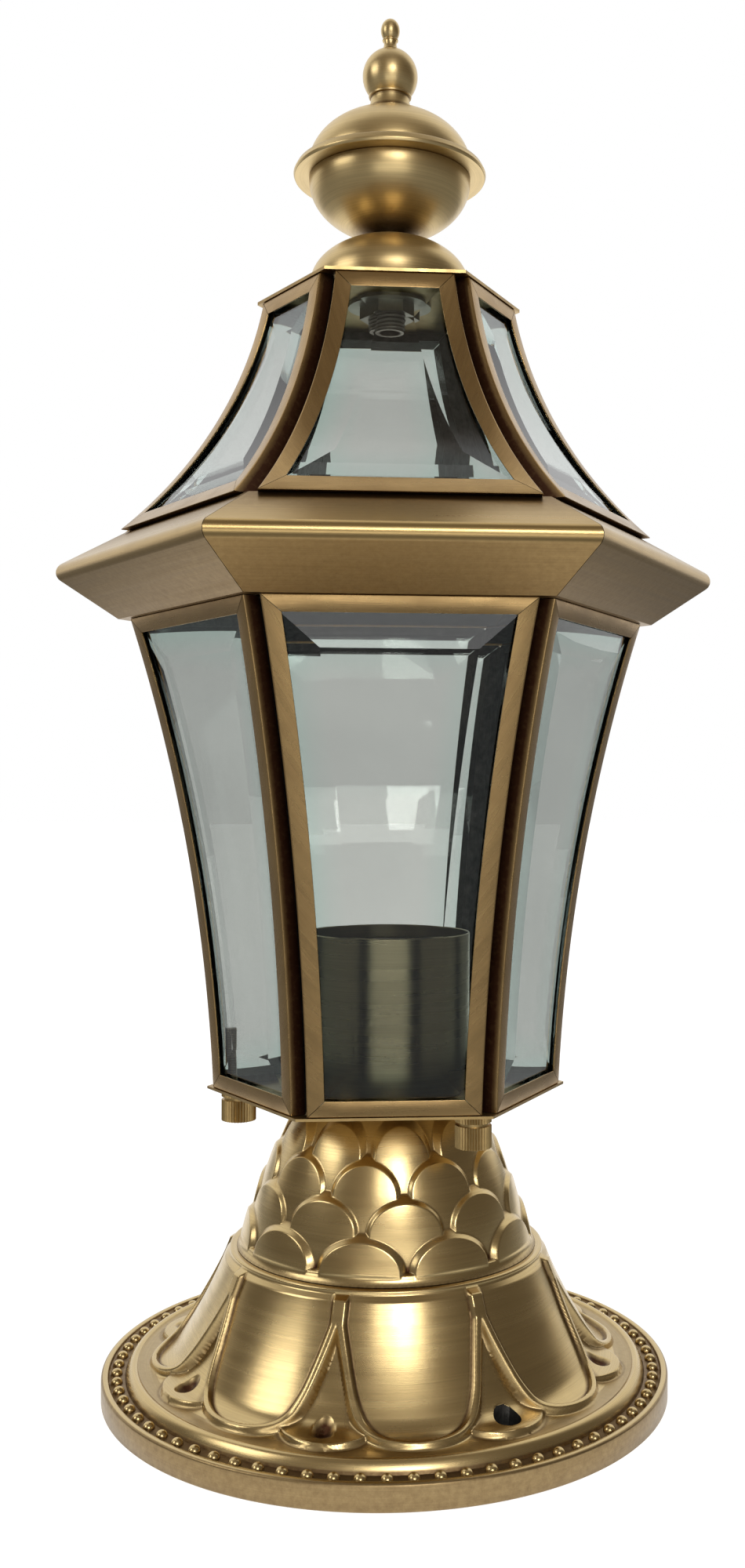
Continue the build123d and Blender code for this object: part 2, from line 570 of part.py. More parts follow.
class Panel:
    """One glazed side out along +X, between two heights of a bowed wall."""

    def __init__(self, bottom_flats, top_flats, bow, bottom, top):
        self.line = Bow((bottom_flats / 2, bottom), (top_flats / 2, top), bow)
        self.bottom = bottom
        self.top = top

    def half_width(self, height, inset):
        """Half the width at a height; the backs of neighbouring frames meet at the corner."""
        return self.line.at(height, CHANNEL_DEPTH) * math.tan(HALF_SIDE) - SEAM - inset

    def layer(self, outer, inner):
        """Curved slab between two depths under the wall's face, wider than the panel."""
        low = self.bottom - OVERCUT
        high = self.top + OVERCUT
        front = self.line.edge(low, high, outer)
        back = self.line.edge(high, low, inner)
        profile = make_face([front, Line(front @ 1, back @ 0), back, Line(back @ 1, front @ 0)])
        reach = max(self.half_width(low, -OVERCUT), self.half_width(high, -OVERCUT))
        return extrude(Plane.XZ * profile, reach, both=True)

    def side_edge(self, side_inset, rail_inset):
        """Right-hand edge of the outline, from bottom to top, inset from the panel's edge."""
        line = self.line
        radius = line.radius - line.sign * CHANNEL_DEPTH
        squeeze = math.tan(HALF_SIDE)
        center = (line.center[0] * squeeze - SEAM - side_inset, line.center[1])
        angles = []
        for height in (self.bottom + rail_inset, self.top - rail_inset):
            rise = math.degrees(math.asin((height - line.center[1]) / radius))
            angles.append(rise if line.sign > 0 else 180.0 - rise)
        return EllipticalCenterArc(center, radius * squeeze, radius, angles[0], arc_size=angles[1] - angles[0])

    def prism(self, side_inset, rail_inset):
        """The panel's outline run straight out from the axis."""
        right = self.side_edge(side_inset, rail_inset)
        left = mirror(right, Plane.YZ)
        outline = [right, left, Line(right @ 0, left @ 0), Line(right @ 1, left @ 1)]
        return extrude(Plane.YZ * make_face(outline), self.line.at(self.bottom) + self.line.at(self.top))

    def mitre_cuts(self):
        """Thin cutters along the four mitres."""
        reach = self.line.at(self.bottom) + self.line.at(self.top)
        outside = self.side_edge(0, 0)
        window = self.side_edge(CHANNEL_FACE, CHANNEL_RAIL)
        cuts = []
        for end in (0, 1):
            along = (window @ end - outside @ end).normalized()
            across = Vector(-along.Y, along.X) * (SEAM / 2)
            first = outside @ end - along * OVERCUT
            last = window @ end + along * OVERCUT
            outline = Polyline(first + across, last + across, last - across, first - across, close=True)
            cut = extrude(Plane.YZ * make_face(outline), reach)
            cuts += [cut, mirror(cut, Plane.XZ)]
        return cuts

    def frame(self):
        """Four channel strips, open towards the glass, parted at the mitres."""
        block = self.layer(0, CHANNEL_DEPTH) & self.prism(0, 0)
        slot = self.layer(CHANNEL_SHEET, CHANNEL_DEPTH - CHANNEL_SHEET) & self.prism(CHANNEL_SHEET, CHANNEL_SHEET)
        window = self.prism(CHANNEL_FACE, CHANNEL_RAIL)
        return Compound((block - [slot, window, *self.mitre_cuts()]).solids())

    def bevel_section(self, height, front, edge):
        """Triangle cut from the pane's edge at one height."""
        face = self.line.at(height, front)
        step = face - self.line.at(height, front + BEVEL_DEPTH)
        rim = self.half_width(height, edge)
        spare = OVERCUT / BEVEL_WIDTH
        outer = (face + step * spare, rim - BEVEL_WIDTH - OVERCUT)
        inner = (face - step - step * spare, rim + OVERCUT)
        corners = [outer, inner, (outer[0], inner[1])]
        return Pos(0, 0, height) * make_face(Polyline(*corners, close=True).edges())

    def pane(self):
        """Bent glass with its front edges ground to a wide bevel."""
        front = CHANNEL_SHEET + GLASS_GAP
        slab = self.layer(front, front + GLASS_THICKNESS) & self.prism(front, front)
        low = self.bottom + front
        high = self.top - front
        sections = 5
        span = high - low + 2 * OVERCUT
        heights = [low - OVERCUT + span * index / (sections - 1) for index in range(sections)]
        side = loft([self.bevel_section(height, front, front) for height in heights])
        cuts = [side, mirror(side, Plane.XZ)]
        reach = max(self.half_width(low, 0), self.half_width(high, 0))
        for edge, toward in ((low, 1), (high, -1)):
            root = edge + toward * BEVEL_WIDTH
            first = Vector(self.line.at(root, front), root)
            last = Vector(self.line.at(edge, front + BEVEL_DEPTH), edge)
            spare = (last - first) * (OVERCUT / BEVEL_WIDTH)
            away = Vector(GLASS_THICKNESS + BEVEL_WIDTH, 0)
            corners = [first - spare, last + spare, last + spare + away, first - spare + away]
            cuts.append(extrude(Plane.XZ * make_face(Polyline(*corners, close=True).edges()), reach, both=True))
        return slab - cuts


def panel_parts(name, panel):
    """Six frames and six panes about the axis, the first facing -Y."""
    parts = {}
    frame = panel.frame()
    pane = panel.pane()
    for index in range(SIDES):
        turn = Rot(0, 0, -90.0 + 360.0 * index / SIDES)
        parts[f"{name}_frame_{index + 1}"] = turn * frame
        parts[f"{name}_pane_{index + 1}"] = turn * pane
    return parts


# Eave: six folded sheets, mitred at the corners


def eave_segment():
    """One folded sheet out along +X: flange, upper slope, rolled bead, lower slope, flange."""
    bead = (EAVE_FLATS / 2 - EAVE_BEAD_R, EAVE_BOTTOM + EAVE_BEAD_RISE)
    upper = (ROOF_BOTTOM_FLATS / 2 - EAVE_TOP_INSET, EAVE_TOP)
    lower = (BODY_TOP_FLATS / 2 + EAVE_BOTTOM_REVEAL, EAVE_BOTTOM)

    def folded(inset):
        high = (upper[0], upper[1] - inset)
        low = (lower[0], lower[1] + inset)
        radius = EAVE_BEAD_R - inset
        top_touch = tangent_point(high, bead, radius, -1)
        low_touch = tangent_point(low, bead, radius, 1)
        rows = [(high[0] - EAVE_FLANGE, high[1]), high, top_touch]
        ends = [low_touch, low, (low[0] - EAVE_FLANGE, low[1])]
        nose = ThreePointArc(top_touch, (bead[0] + radius, bead[1]), low_touch)
        return Polyline(*rows).edges() + [nose] + Polyline(*ends).edges()

    outside = folded(0)
    inside = folded(EAVE_SHEET)
    ends = [Line(outside[0] @ 0, inside[0] @ 0), Line(outside[-1] @ 1, inside[-1] @ 1)]
    profile = Plane.XZ * make_face([*outside, *inside, *ends])
    sheet = extrude(profile, EAVE_FLATS, both=True)
    apex = SEAM / math.sin(HALF_SIDE)
    half = (EAVE_FLATS - apex) * math.tan(HALF_SIDE)
    sector = make_face(Polyline((apex, 0), (EAVE_FLATS, half), (EAVE_FLATS, -half), close=True).edges())
    return sheet & extrude(sector, EAVE_TOP + OVERCUT)


def eave_parts():
    """Six eave segments about the axis, the first over the -Y pane."""
    segments = around(eave_segment(), SIDES, -90.0)
    return {f"eave_segment_{index + 1}": segment for index, segment in enumerate(segments)}


# Studs, gussets and thumb nuts that hold the lantern down


def stud_parts():
    """Threaded studs on gusset plates in three lower corners of the lantern."""
    nut_top = DOME_TOP - SEAT_GAP
    stud_bottom = nut_top - NUT_BORE_DEPTH + SLIP_GAP
    gusset_top = BODY_BOTTOM + GUSSET_THICKNESS
    apex = INNER_CORNER_R
    legs = (apex - GUSSET_LEG * math.sin(HALF_SIDE), GUSSET_LEG * math.cos(HALF_SIDE))
    outline = make_face(Polyline((apex, 0), legs, (legs[0], -legs[1]), close=True).edges())
    outline -= Pos(STUD_RING_R, 0) * Circle(STUD_R + RUN_GAP)
    gusset = Pos(0, 0, BODY_BOTTOM) * extrude(outline, GUSSET_THICKNESS)
    length = gusset_top + STUD_RISE - stud_bottom
    stud = Pos(STUD_RING_R, 0, stud_bottom + length / 2) * Cylinder(STUD_R, length)
    return {
        "corner_gussets": Compound(around(gusset, STUD_COUNT, STUD_FIRST_ANGLE)),
        "corner_studs": Compound(around(stud, STUD_COUNT, STUD_FIRST_ANGLE)),
    }


def knurled(bottom, height):
    """Cylinder with straight V-shaped knurling."""
    points = []
    for index in range(2 * NUT_TEETH):
        radius = NUT_R - NUT_TOOTH_DEPTH * (index % 2)
        angle = math.pi * index / NUT_TEETH
        points.append((radius * math.cos(angle), radius * math.sin(angle)))
    outline = make_face(Polyline(*points, close=True).edges())
    return Pos(0, 0, bottom) * extrude(outline, height)


def thumb_nut_parts():
    """Blind thumb nuts: knurled collar, groove and knurled barrel."""
    top = DOME_TOP - SEAT_GAP
    groove_top = top - NUT_COLLAR_HEIGHT
    barrel_top = groove_top - NUT_GROOVE_HEIGHT
    collar = knurled(groove_top, NUT_COLLAR_HEIGHT)
    barrel = knurled(barrel_top - NUT_BARREL_HEIGHT, NUT_BARREL_HEIGHT)
    core = ring(NUT_R - NUT_GROOVE_DEPTH, 0, barrel_top, NUT_GROOVE_HEIGHT)
    bore = ring(STUD_R + RUN_GAP, 0, top - NUT_BORE_DEPTH, NUT_BORE_DEPTH + OVERCUT)
    nut = Pos(STUD_RING_R, 0, 0) * (collar + core + barrel - bore)
    copies = around(nut, STUD_COUNT, STUD_FIRST_ANGLE)
    return {f"thumb_nut_{index + 1}": copy for index, copy in enumerate(copies)}


# Urn and finial above the roof


def oval_arc(center, width, height, start, end):
    """Part of an upright oval about a point on the axis, between two angles."""
    return EllipticalCenterArc((0, center), width, height, start, arc_size=end - start)


def oval_angle(r, width):
    """Angle, in degrees, at which an oval of that half width reaches a distance from the axis."""
    return math.degrees(math.acos(r / width))


def urn_parts():
    """Spun collar, bowl and lid, one on the other."""
    hole = NIPPLE_R + SLIP_GAP
    collar_out = oval_arc(COLLAR_SHOULDER, COLLAR_R, COLLAR_RISE, 0, oval_angle(hole, COLLAR_R))
    collar_in_r = COLLAR_R - SPUN_WALL
    collar_in = oval_arc(
        COLLAR_SHOULDER, collar_in_r, COLLAR_RISE - SPUN_WALL, 0, oval_angle(hole, collar_in_r)
    )
    flange_top = TOP_PLATE_TOP + COLLAR_FLANGE_HEIGHT
    collar_edge = [
        collar_in @ 0,
        (collar_in_r, TOP_PLATE_TOP),
        (COLLAR_R + COLLAR_FLANGE, TOP_PLATE_TOP),
        (COLLAR_R + COLLAR_FLANGE, flange_top),
        (COLLAR_R, flange_top),
        collar_out @ 0,
    ]
    collar = turned(
        *Polyline(*collar_edge).edges(), collar_out, Line(collar_out @ 1, collar_in @ 1), collar_in
    )
    brim = BOWL_BOTTOM + BOWL_DEPTH
    bowl_in_r = BOWL_R - SPUN_WALL
    bowl_out = oval_arc(brim, BOWL_R, BOWL_DEPTH, -oval_angle(hole, BOWL_R), 0)
    bowl_in = oval_arc(brim, bowl_in_r, BOWL_DEPTH - SPUN_WALL, -oval_angle(hole, bowl_in_r), 0)
    bowl_edge = [bowl_out @ 1, (BOWL_R, BOWL_TOP), (bowl_in_r, BOWL_TOP), bowl_in @ 1]
    bowl = turned(*Polyline(*bowl_edge).edges(), bowl_out, Line(bowl_out @ 0, bowl_in @ 0), bowl_in)
    lid_in_r = LID_R - SPUN_WALL
    lid_out = oval_arc(LID_SHOULDER, LID_R, LID_RISE, 0, oval_angle(LID_LAND_R, LID_R))
    land_underside = (lid_out @ 1).Y - SPUN_WALL
    lid_in_angle = math.degrees(math.asin((land_underside - LID_SHOULDER) / (LID_RISE - SPUN_WALL)))
    lid_in = oval_arc(LID_SHOULDER, lid_in_r, LID_RISE - SPUN_WALL, 0, lid_in_angle)
    lid_edge = [
        lid_in @ 0,
        (lid_in_r, LID_BOTTOM),
        (LID_RIM_R, LID_BOTTOM),
        (LID_RIM_R - LID_RIM_TAPER, LID_SHOULDER),
        lid_out @ 0,
    ]
    land = [lid_out @ 1, (hole, (lid_out @ 1).Y), (hole, land_underside), lid_in @ 1]
    lid = turned(*Polyline(*lid_edge).edges(), lid_out, *Polyline(*land).edges(), lid_in)
    return {"collar_dome": collar, "urn_bowl": bowl, "urn_lid": lid}


LID_TOP = LID_SHOULDER + LID_RISE * math.sin(math.acos(LID_LAND_R / LID_R))
FINIAL_BOTTOM = LID_TOP + FINIAL_GAP
FINIAL_NECK_TOP = FINIAL_BOTTOM + FINIAL_BASE_HEIGHT + FINIAL_NECK_HEIGHT
BALL_HEIGHT = FINIAL_NECK_TOP + math.sqrt(FINIAL_BALL_R**2 - FINIAL_NECK_R**2)
TIP_BOTTOM = BALL_HEIGHT + math.sqrt(FINIAL_BALL_R**2 - TIP_STEM_R**2)


def top_fixing_parts():
    """Six-sided plate on the roof and the threaded nipple through the urn, locked below."""
    hole = NIPPLE_R + RUN_GAP
    outline = RegularPolygon(ROOF_TOP_FLATS / 2 + TOP_PLATE_OVERHANG, SIDES, major_radius=False) - Circle(hole)
    bottom = TOP_PLATE_BOTTOM - NIPPLE_DROP
    washer_bottom = TOP_PLATE_BOTTOM - NIPPLE_WASHER_THICKNESS
    nut_bottom = washer_bottom - NIPPLE_NUT_HEIGHT
    return {
        "top_plate": Pos(0, 0, TOP_PLATE_BOTTOM) * extrude(outline, TOP_PLATE_THICKNESS),
        "top_nipple": ring(NIPPLE_R, NIPPLE_BORE_R, bottom, FINIAL_BOTTOM + NIPPLE_GRIP - bottom),
        "nipple_washer": ring(NIPPLE_WASHER_R, hole, washer_bottom, NIPPLE_WASHER_THICKNESS),
        "nipple_locknut": hexagon_nut(NIPPLE_NUT_FLATS, hole, nut_bottom, NIPPLE_NUT_HEIGHT),
    }


def finial_parts():
    """Ball screwed on the nipple, and the small knob on the ball."""
    socket = NIPPLE_R + RUN_GAP
    socket_top = FINIAL_BOTTOM + NIPPLE_GRIP + SLIP_GAP
    base_top = FINIAL_BOTTOM + FINIAL_BASE_HEIGHT
    neck = (FINIAL_NECK_R, FINIAL_NECK_TOP)
    ring_bottom = (FINIAL_NECK_R, FINIAL_NECK_TOP - FINIAL_RING_HEIGHT)
    ring_side = (FINIAL_NECK_R + FINIAL_RING_WIDTH, FINIAL_NECK_TOP - FINIAL_RING_HEIGHT / 2)
    tip_seat = (TIP_STEM_R, TIP_BOTTOM)
    tenon_hole = TIP_TENON_R + RUN_GAP
    tenon_bottom = TIP_BOTTOM - TIP_TENON_DEPTH
    ball = turned(
        *Polyline((0, socket_top), (socket, socket_top), (socket, FINIAL_BOTTOM)).edges(),
        *Polyline((socket, FINIAL_BOTTOM), (FINIAL_BASE_R, FINIAL_BOTTOM), (FINIAL_BASE_R, base_top)).edges(),
        TangentArc(ring_bottom, (FINIAL_BASE_R, base_top), tangent=(0, -1)),
        ThreePointArc(ring_bottom, ring_side, neck),
        ThreePointArc(neck, (FINIAL_BALL_R, BALL_HEIGHT), tip_seat),
        *Polyline(tip_seat, (tenon_hole, TIP_BOTTOM), (tenon_hole, tenon_bottom), (0, tenon_bottom)).edges(),
        Line((0, tenon_bottom), (0, socket_top)),
    )
    tip_bottom = TIP_BOTTOM + SEAT_GAP
    tip_ring = tip_bottom + TIP_STEM_HEIGHT - TIP_RING_HEIGHT
    knob_bottom = tip_bottom + TIP_STEM_HEIGHT
    knob_angle = oval_angle(TIP_STEM_R, TIP_KNOB_R)
    knob_center = knob_bottom + TIP_KNOB_RISE * math.sin(math.radians(knob_angle))
    knob = oval_arc(knob_center, TIP_KNOB_R, TIP_KNOB_RISE, -knob_angle, 90.0)
    tenon_end = tenon_bottom + SEAT_GAP
    tip = turned(
        *Polyline((0, tenon_end), (TIP_TENON_R, tenon_end), (TIP_TENON_R, tip_bottom)).edges(),
        *Polyline((TIP_TENON_R, tip_bottom), (TIP_STEM_R, tip_bottom), (TIP_STEM_R, tip_ring)).edges(),
        *Polyline((TIP_STEM_R, tip_ring), (TIP_RING_R, tip_ring), (TIP_RING_R, knob_bottom)).edges(),
        Line((TIP_RING_R, knob_bottom), knob @ 0),
        knob,
        Line(knob @ 1, (0, tenon_end)),
    )
    return {"finial_ball": ball, "finial_tip": tip}


def all_parts():
    """Every node of the light by name."""
    body = Panel(BODY_BOTTOM_FLATS, BODY_TOP_FLATS, BODY_BOW, BODY_BOTTOM, BODY_TOP)
    roof = Panel(ROOF_BOTTOM_FLATS, ROOF_TOP_FLATS, ROOF_BOW, ROOF_BOTTOM, ROOF_TOP)
    return {
        "petal_foot": petal_foot(),
        "scale_dome": scale_dome(),
        **stem_parts(),
        **strap_parts(),
        **plate_and_cup(),
        **lampholder_parts(),
        **panel_parts("side", body),
        **panel_parts("roof", roof),
        **eave_parts(),
        **stud_parts(),
        **thumb_nut_parts(),
        **top_fixing_parts(),
        **urn_parts(),
        **finial_parts(),
    }


os.makedirs("parts", exist_ok=True)
for node, shape in all_parts().items():
    export_step(shape, f"parts/{node}.step")
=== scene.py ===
import math

import bmesh
import bpy
import numpy as np
from bpy.props import FloatProperty, FloatVectorProperty, IntProperty, PointerProperty
from mathutils import Matrix, Vector


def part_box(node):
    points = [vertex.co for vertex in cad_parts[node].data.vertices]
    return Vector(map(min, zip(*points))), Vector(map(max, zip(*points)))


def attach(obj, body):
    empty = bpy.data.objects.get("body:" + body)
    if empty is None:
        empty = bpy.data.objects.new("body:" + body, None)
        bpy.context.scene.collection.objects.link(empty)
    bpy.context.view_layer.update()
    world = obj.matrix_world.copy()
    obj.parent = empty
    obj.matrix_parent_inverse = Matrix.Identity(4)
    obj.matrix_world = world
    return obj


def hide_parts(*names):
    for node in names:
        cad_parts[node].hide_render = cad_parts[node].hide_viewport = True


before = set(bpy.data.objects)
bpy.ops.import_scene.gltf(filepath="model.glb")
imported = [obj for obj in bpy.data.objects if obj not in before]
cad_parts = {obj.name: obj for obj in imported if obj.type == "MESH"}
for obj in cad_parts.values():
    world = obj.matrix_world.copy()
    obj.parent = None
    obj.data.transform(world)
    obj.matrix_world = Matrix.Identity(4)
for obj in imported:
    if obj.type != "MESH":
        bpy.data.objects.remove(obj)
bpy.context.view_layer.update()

bl_info = {
    "name": "Pillar light",
    "version": (1, 0, 0),
    "blender": (4, 5, 0),
    "location": "View3D > Sidebar > Pillar light",
    "description": "Six-sided glazed lantern on a scaled dome and a petalled foot",
    "category": "Object",
}

MM = 0.001
IMAGE_WIDTH, IMAGE_HEIGHT = 950, 2000

# Places that the solids give
FOOT_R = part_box("petal_foot")[1].x
LIP_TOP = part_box("petal_foot")[1].z
DOME_BOTTOM, DOME_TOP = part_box("scale_dome")[0].z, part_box("scale_dome")[1].z
CUP_BOTTOM, CUP_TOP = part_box("lamp_cup")[0].z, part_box("lamp_cup")[1].z
CUP_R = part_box("lamp_cup")[1].x
BODY_BOTTOM, BODY_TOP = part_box("side_frame_1")[0].z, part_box("side_frame_1")[1].z
EAVE_BOTTOM, EAVE_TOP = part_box("eave_segment_1")[0].z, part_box("eave_segment_1")[1].z
ROOF_BOTTOM, ROOF_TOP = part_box("roof_frame_1")[0].z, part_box("roof_frame_1")[1].z
COLLAR_BOTTOM, COLLAR_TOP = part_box("collar_dome")[0].z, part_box("collar_dome")[1].z
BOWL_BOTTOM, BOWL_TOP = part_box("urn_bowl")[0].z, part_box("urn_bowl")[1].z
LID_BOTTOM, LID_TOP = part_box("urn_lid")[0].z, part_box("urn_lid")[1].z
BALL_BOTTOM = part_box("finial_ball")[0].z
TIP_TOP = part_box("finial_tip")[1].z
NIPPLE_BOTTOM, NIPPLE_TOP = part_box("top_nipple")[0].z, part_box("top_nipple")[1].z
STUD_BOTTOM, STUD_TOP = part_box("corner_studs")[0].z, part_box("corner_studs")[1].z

# Sizes that the solids share
SIDES = 6
SIDE_TAN = math.tan(math.pi / SIDES)
SHEET = 0.7 * MM
CHANNEL_DEPTH = 6.5 * MM
CHANNEL_FACE = 6.5 * MM
CHANNEL_RAIL = 6.0 * MM
GLASS_FRONT = 0.85 * MM
GLASS_THICKNESS = 4.8 * MM
SEAM = 0.12 * MM
FLARE_FOOT = (94.0 * MM, 11.9 * MM)
FLARE_KNEE = (82.2 * MM, 18.1 * MM)
FLARE_LIP = (62.8 * MM, 55.0 * MM)
FOOT_WALL = 2.4 * MM
LEDGE_HOLE_R = 50.0 * MM
LEDGE_BOTTOM, LEDGE_TOP = 50.5 * MM, 53.0 * MM
SEAT_R = 58.7 * MM
MOULDING_IN, MOULDING_OUT = 98.2 * MM, 103.4 * MM
CHANNEL_FLOOR, RIM_TOP = 8.4 * MM, 9.8 * MM
MOULDING_TOP = CHANNEL_FLOOR + 4.2 * MM
CHANNEL_OUT = 109.8 * MM
BEAD_RING_R = 106.6 * MM
SCREW_RING_R, SCREW_HOLE_R = 86.0 * MM, 5.0 * MM
SCREW_BOSS_R, SCREW_BOSS_BOTTOM = 8.5 * MM, 0.5 * MM
NIPPLE_R, NIPPLE_BORE_R = 6.35 * MM, 4.2 * MM
STUD_R, STUD_RING_R = 2.0 * MM, 59.47 * MM
STUD_ANGLES = (-60.0, 60.0, 180.0)
PETALS = 8
PETAL_ANGLE = math.radians(-85.0)
SCALES = 10
SCALE_ANGLE = math.radians(-102.7)
SCALE_TIPS = (74.0 * MM, 87.0 * MM, 100.0 * MM, 113.0 * MM)
SPUN_HOLE_R, SPUN_WALL = 6.65 * MM, 1.0 * MM
LID_SHOULDER = LID_BOTTOM + 3.9 * MM

# How the meshes are made: points closer than this are one, and the foot's edges sharper than this stay sharp
MERGE_DISTANCE = 1e-7
FOOT_CREASE = 50.0

# Metals: colour of the finish, scratches along and across a metre, roughness, blotches, scratch strength
METALS = {
    "Cast brass": dict(color="cast", along=22, across=2600, rough=0.25, blotch=0.10, scratch=0.025),
    "Sheet brass": dict(color="sheet", along=9, across=3000, rough=0.27, blotch=0.14, scratch=0.08),
    "Spun brass": dict(
        color="spun", along=16, across=3000, rough=0.33, blotch=0.12, scratch=0.04, anisotropy=0.5
    ),
    "Cup brass": dict(
        color="cup", along=16, across=2600, rough=0.27, blotch=0.05, scratch=0.015, anisotropy=0.4
    ),
    "Channel bronze": dict(color="channel", along=60, across=2600, rough=0.25, blotch=0.26, scratch=0.06),
    "Turned brass": dict(
        color="sheet", along=300, across=300, rough=0.30, blotch=0.18, scratch=0.05, plain=True
    ),
    "Flat brass": dict(
        color="sheet", along=300, across=300, rough=0.34, blotch=0.30, scratch=0.05, plain=True
    ),
    "Plated steel": dict(color="plated", along=40, across=1800, rough=0.32, blotch=0.18, scratch=0.08),
    "Plain steel": dict(
        color="plated", along=300, across=300, rough=0.36, blotch=0.22, scratch=0.06, plain=True
    ),
}
HOLDER_BLACK = (0.02, 0.02, 0.02)

# Lamps: place, what it points at, width and height, power in watts
LAMPS = {
    "left window": ((-1.3, -0.5, 0.95), (0, 0, 0.2), (0.7, 0.6), 4.2),
    "front window": ((0.15, -1.75, 0.93), (0, 0, 0.2), (1.0, 0.42), 5.6),
    "door": ((0.3, -2.0, 1.0), (0, 0, 0.2), (0.4, 0.3), 4.5),
    "card": ((0.0, -0.95, 0.03), (0, 0, 0.4), (0.9, 0.35), 1.9),
}


# Settings a user would change


class FootSettings(bpy.types.PropertyGroup):
    """Relief of the cast foot."""

    bead_count: IntProperty(name="Beads", description="Pearls round the rim", default=74, min=8)
    bead_radius: FloatProperty(
        name="Bead radius", description="Radius of a pearl", default=2.3 * MM, unit="LENGTH"
    )
    rim_width: FloatProperty(
        name="Rim width", description="Width of a petal's rim", default=4.2 * MM, unit="LENGTH"
    )
    rim_height: FloatProperty(
        name="Rim height", description="Height of a petal's rim", default=2.6 * MM, unit="LENGTH"
    )
    face_height: FloatProperty(
        name="Face height", description="Height of a petal's face", default=0.7 * MM, unit="LENGTH"
    )
    swell: FloatProperty(
        name="Swell", description="How far a petal's face swells", default=0.35 * MM, unit="LENGTH"
    )
    ear_height: FloatProperty(
        name="Ear height", description="Height of an ear", default=1.9 * MM, unit="LENGTH"
    )
    dimple_depth: FloatProperty(
        name="Dimple", description="Depth of an ear's dimple", default=2.6 * MM, unit="LENGTH"
    )


class DomeSettings(bpy.types.PropertyGroup):
    """Relief of the scaled dome."""

    tip_lift: FloatProperty(
        name="Tip lift", description="How far a scale's tip stands out", default=3.0 * MM, unit="LENGTH"
    )
    bevel_width: FloatProperty(
        name="Bevel width", description="Width of a scale's bevel", default=2.6 * MM, unit="LENGTH"
    )
    bevel_drop: FloatProperty(
        name="Bevel drop", description="Fall across the bevel", default=2.2 * MM, unit="LENGTH"
    )


class GlassSettings(bpy.types.PropertyGroup):
    """Bevelled panes."""

    bevel_width: FloatProperty(
        name="Bevel width", description="Width of the ground bevel", default=17.0 * MM, unit="LENGTH"
    )
    bevel_depth: FloatProperty(
        name="Bevel depth", description="Depth at the edge", default=1.4 * MM, unit="LENGTH"
    )
    tint: FloatVectorProperty(
        name="Tint", description="Grey of the glass",
        subtype="COLOR", default=(0.70, 0.692, 0.672), min=0, max=1,
    )
    bevel_tint: FloatVectorProperty(
        name="Bevel tint", description="Green of the bevels",
        subtype="COLOR", default=(0.50, 0.67, 0.62), min=0, max=1,
    )
    deep_tint: FloatVectorProperty(
        name="Depth tint", description="Green of long ways through the glass",
        subtype="COLOR", default=(0.30, 0.78, 0.70), min=0, max=1,
    )
    deep_density: FloatProperty(
        name="Depth density", description="Strength of the depth tint", default=14.0, min=0
    )


class FinishSettings(bpy.types.PropertyGroup):
    """Colours of the metals."""

    cast: FloatVectorProperty(
        name="Cast brass", description="Foot and dome",
        subtype="COLOR", default=(0.61, 0.46, 0.22), min=0, max=1,
    )
    sheet: FloatVectorProperty(
        name="Sheet brass", description="Eave and plates",
        subtype="COLOR", default=(0.52, 0.365, 0.155), min=0, max=1,
    )
    spun: FloatVectorProperty(
        name="Spun brass", description="Urn and finial",
        subtype="COLOR", default=(0.72, 0.545, 0.265), min=0, max=1,
    )
    cup: FloatVectorProperty(
        name="Cup brass", description="Cup round the lampholder",
        subtype="COLOR", default=(0.36, 0.32, 0.20), min=0, max=1,
    )
    channel: FloatVectorProperty(
        name="Channel bronze", description="Frame strips",
        subtype="COLOR", default=(0.43, 0.285, 0.122), min=0, max=1,
    )
    # Brown of the patina in the hollows, also laid on as painted shade
    tarnish_and_shade: FloatVectorProperty(
        name="Tarnish and shade", description="Brown in the hollows",
        subtype="COLOR", default=(0.085, 0.036, 0.018), min=0, max=1,
    )
    inside: FloatVectorProperty(
        name="Inside black", description="Inner side of the frames",
        subtype="COLOR", default=(0.016, 0.015, 0.013), min=0, max=1,
    )
    plated: FloatVectorProperty(
        name="Plated steel", description="Nuts, washers and stem",
        subtype="COLOR", default=(0.50, 0.47, 0.40), min=0, max=1,
    )


class StageSettings(bpy.types.PropertyGroup):
    """Camera, room and floor."""

    distance: FloatProperty(
        name="Distance", description="Camera to the plane of the axis", default=0.60994, unit="LENGTH"
    )
    aside: FloatProperty(
        name="Aside", description="The axis from the picture's middle line, to the right",
        default=-0.01964, unit="LENGTH",
    )
    height: FloatProperty(
        name="Height", description="Camera above the floor", default=0.24196, unit="LENGTH"
    )
    turn: FloatProperty(
        name="Turn", description="Camera round the axis, from -Y towards -X",
        default=math.radians(4.534), subtype="ANGLE",
    )
    focal: FloatProperty(name="Focal length", description="In pixels of the photograph", default=1922.9)
    center_x: FloatProperty(
        name="Middle, across", description="Optical axis in the picture, in pixels", default=556.6
    )
    center_y: FloatProperty(
        name="Middle, down", description="Optical axis in the picture, in pixels", default=996.1
    )
    roll: FloatProperty(
        name="Roll", description="Turn of the picture", default=math.radians(0.184), subtype="ANGLE"
    )
    room: FloatProperty(
        name="Room light", description="Level of the room in front", default=0.30, min=0
    )
    floor_size: FloatProperty(
        name="Floor", description="Side of the floor", default=16.0, unit="LENGTH"
    )
    white_front: FloatProperty(
        name="White in front", description="How far the white floor reaches to the front",
        default=0.15, unit="LENGTH",
    )


class PillarLightSettings(bpy.types.PropertyGroup):
    """All settings of the pillar light."""

    foot: PointerProperty(type=FootSettings)
    dome: PointerProperty(type=DomeSettings)
    glass: PointerProperty(type=GlassSettings)
    finish: PointerProperty(type=FinishSettings)
    stage: PointerProperty(type=StageSettings)


# Curves in a plane


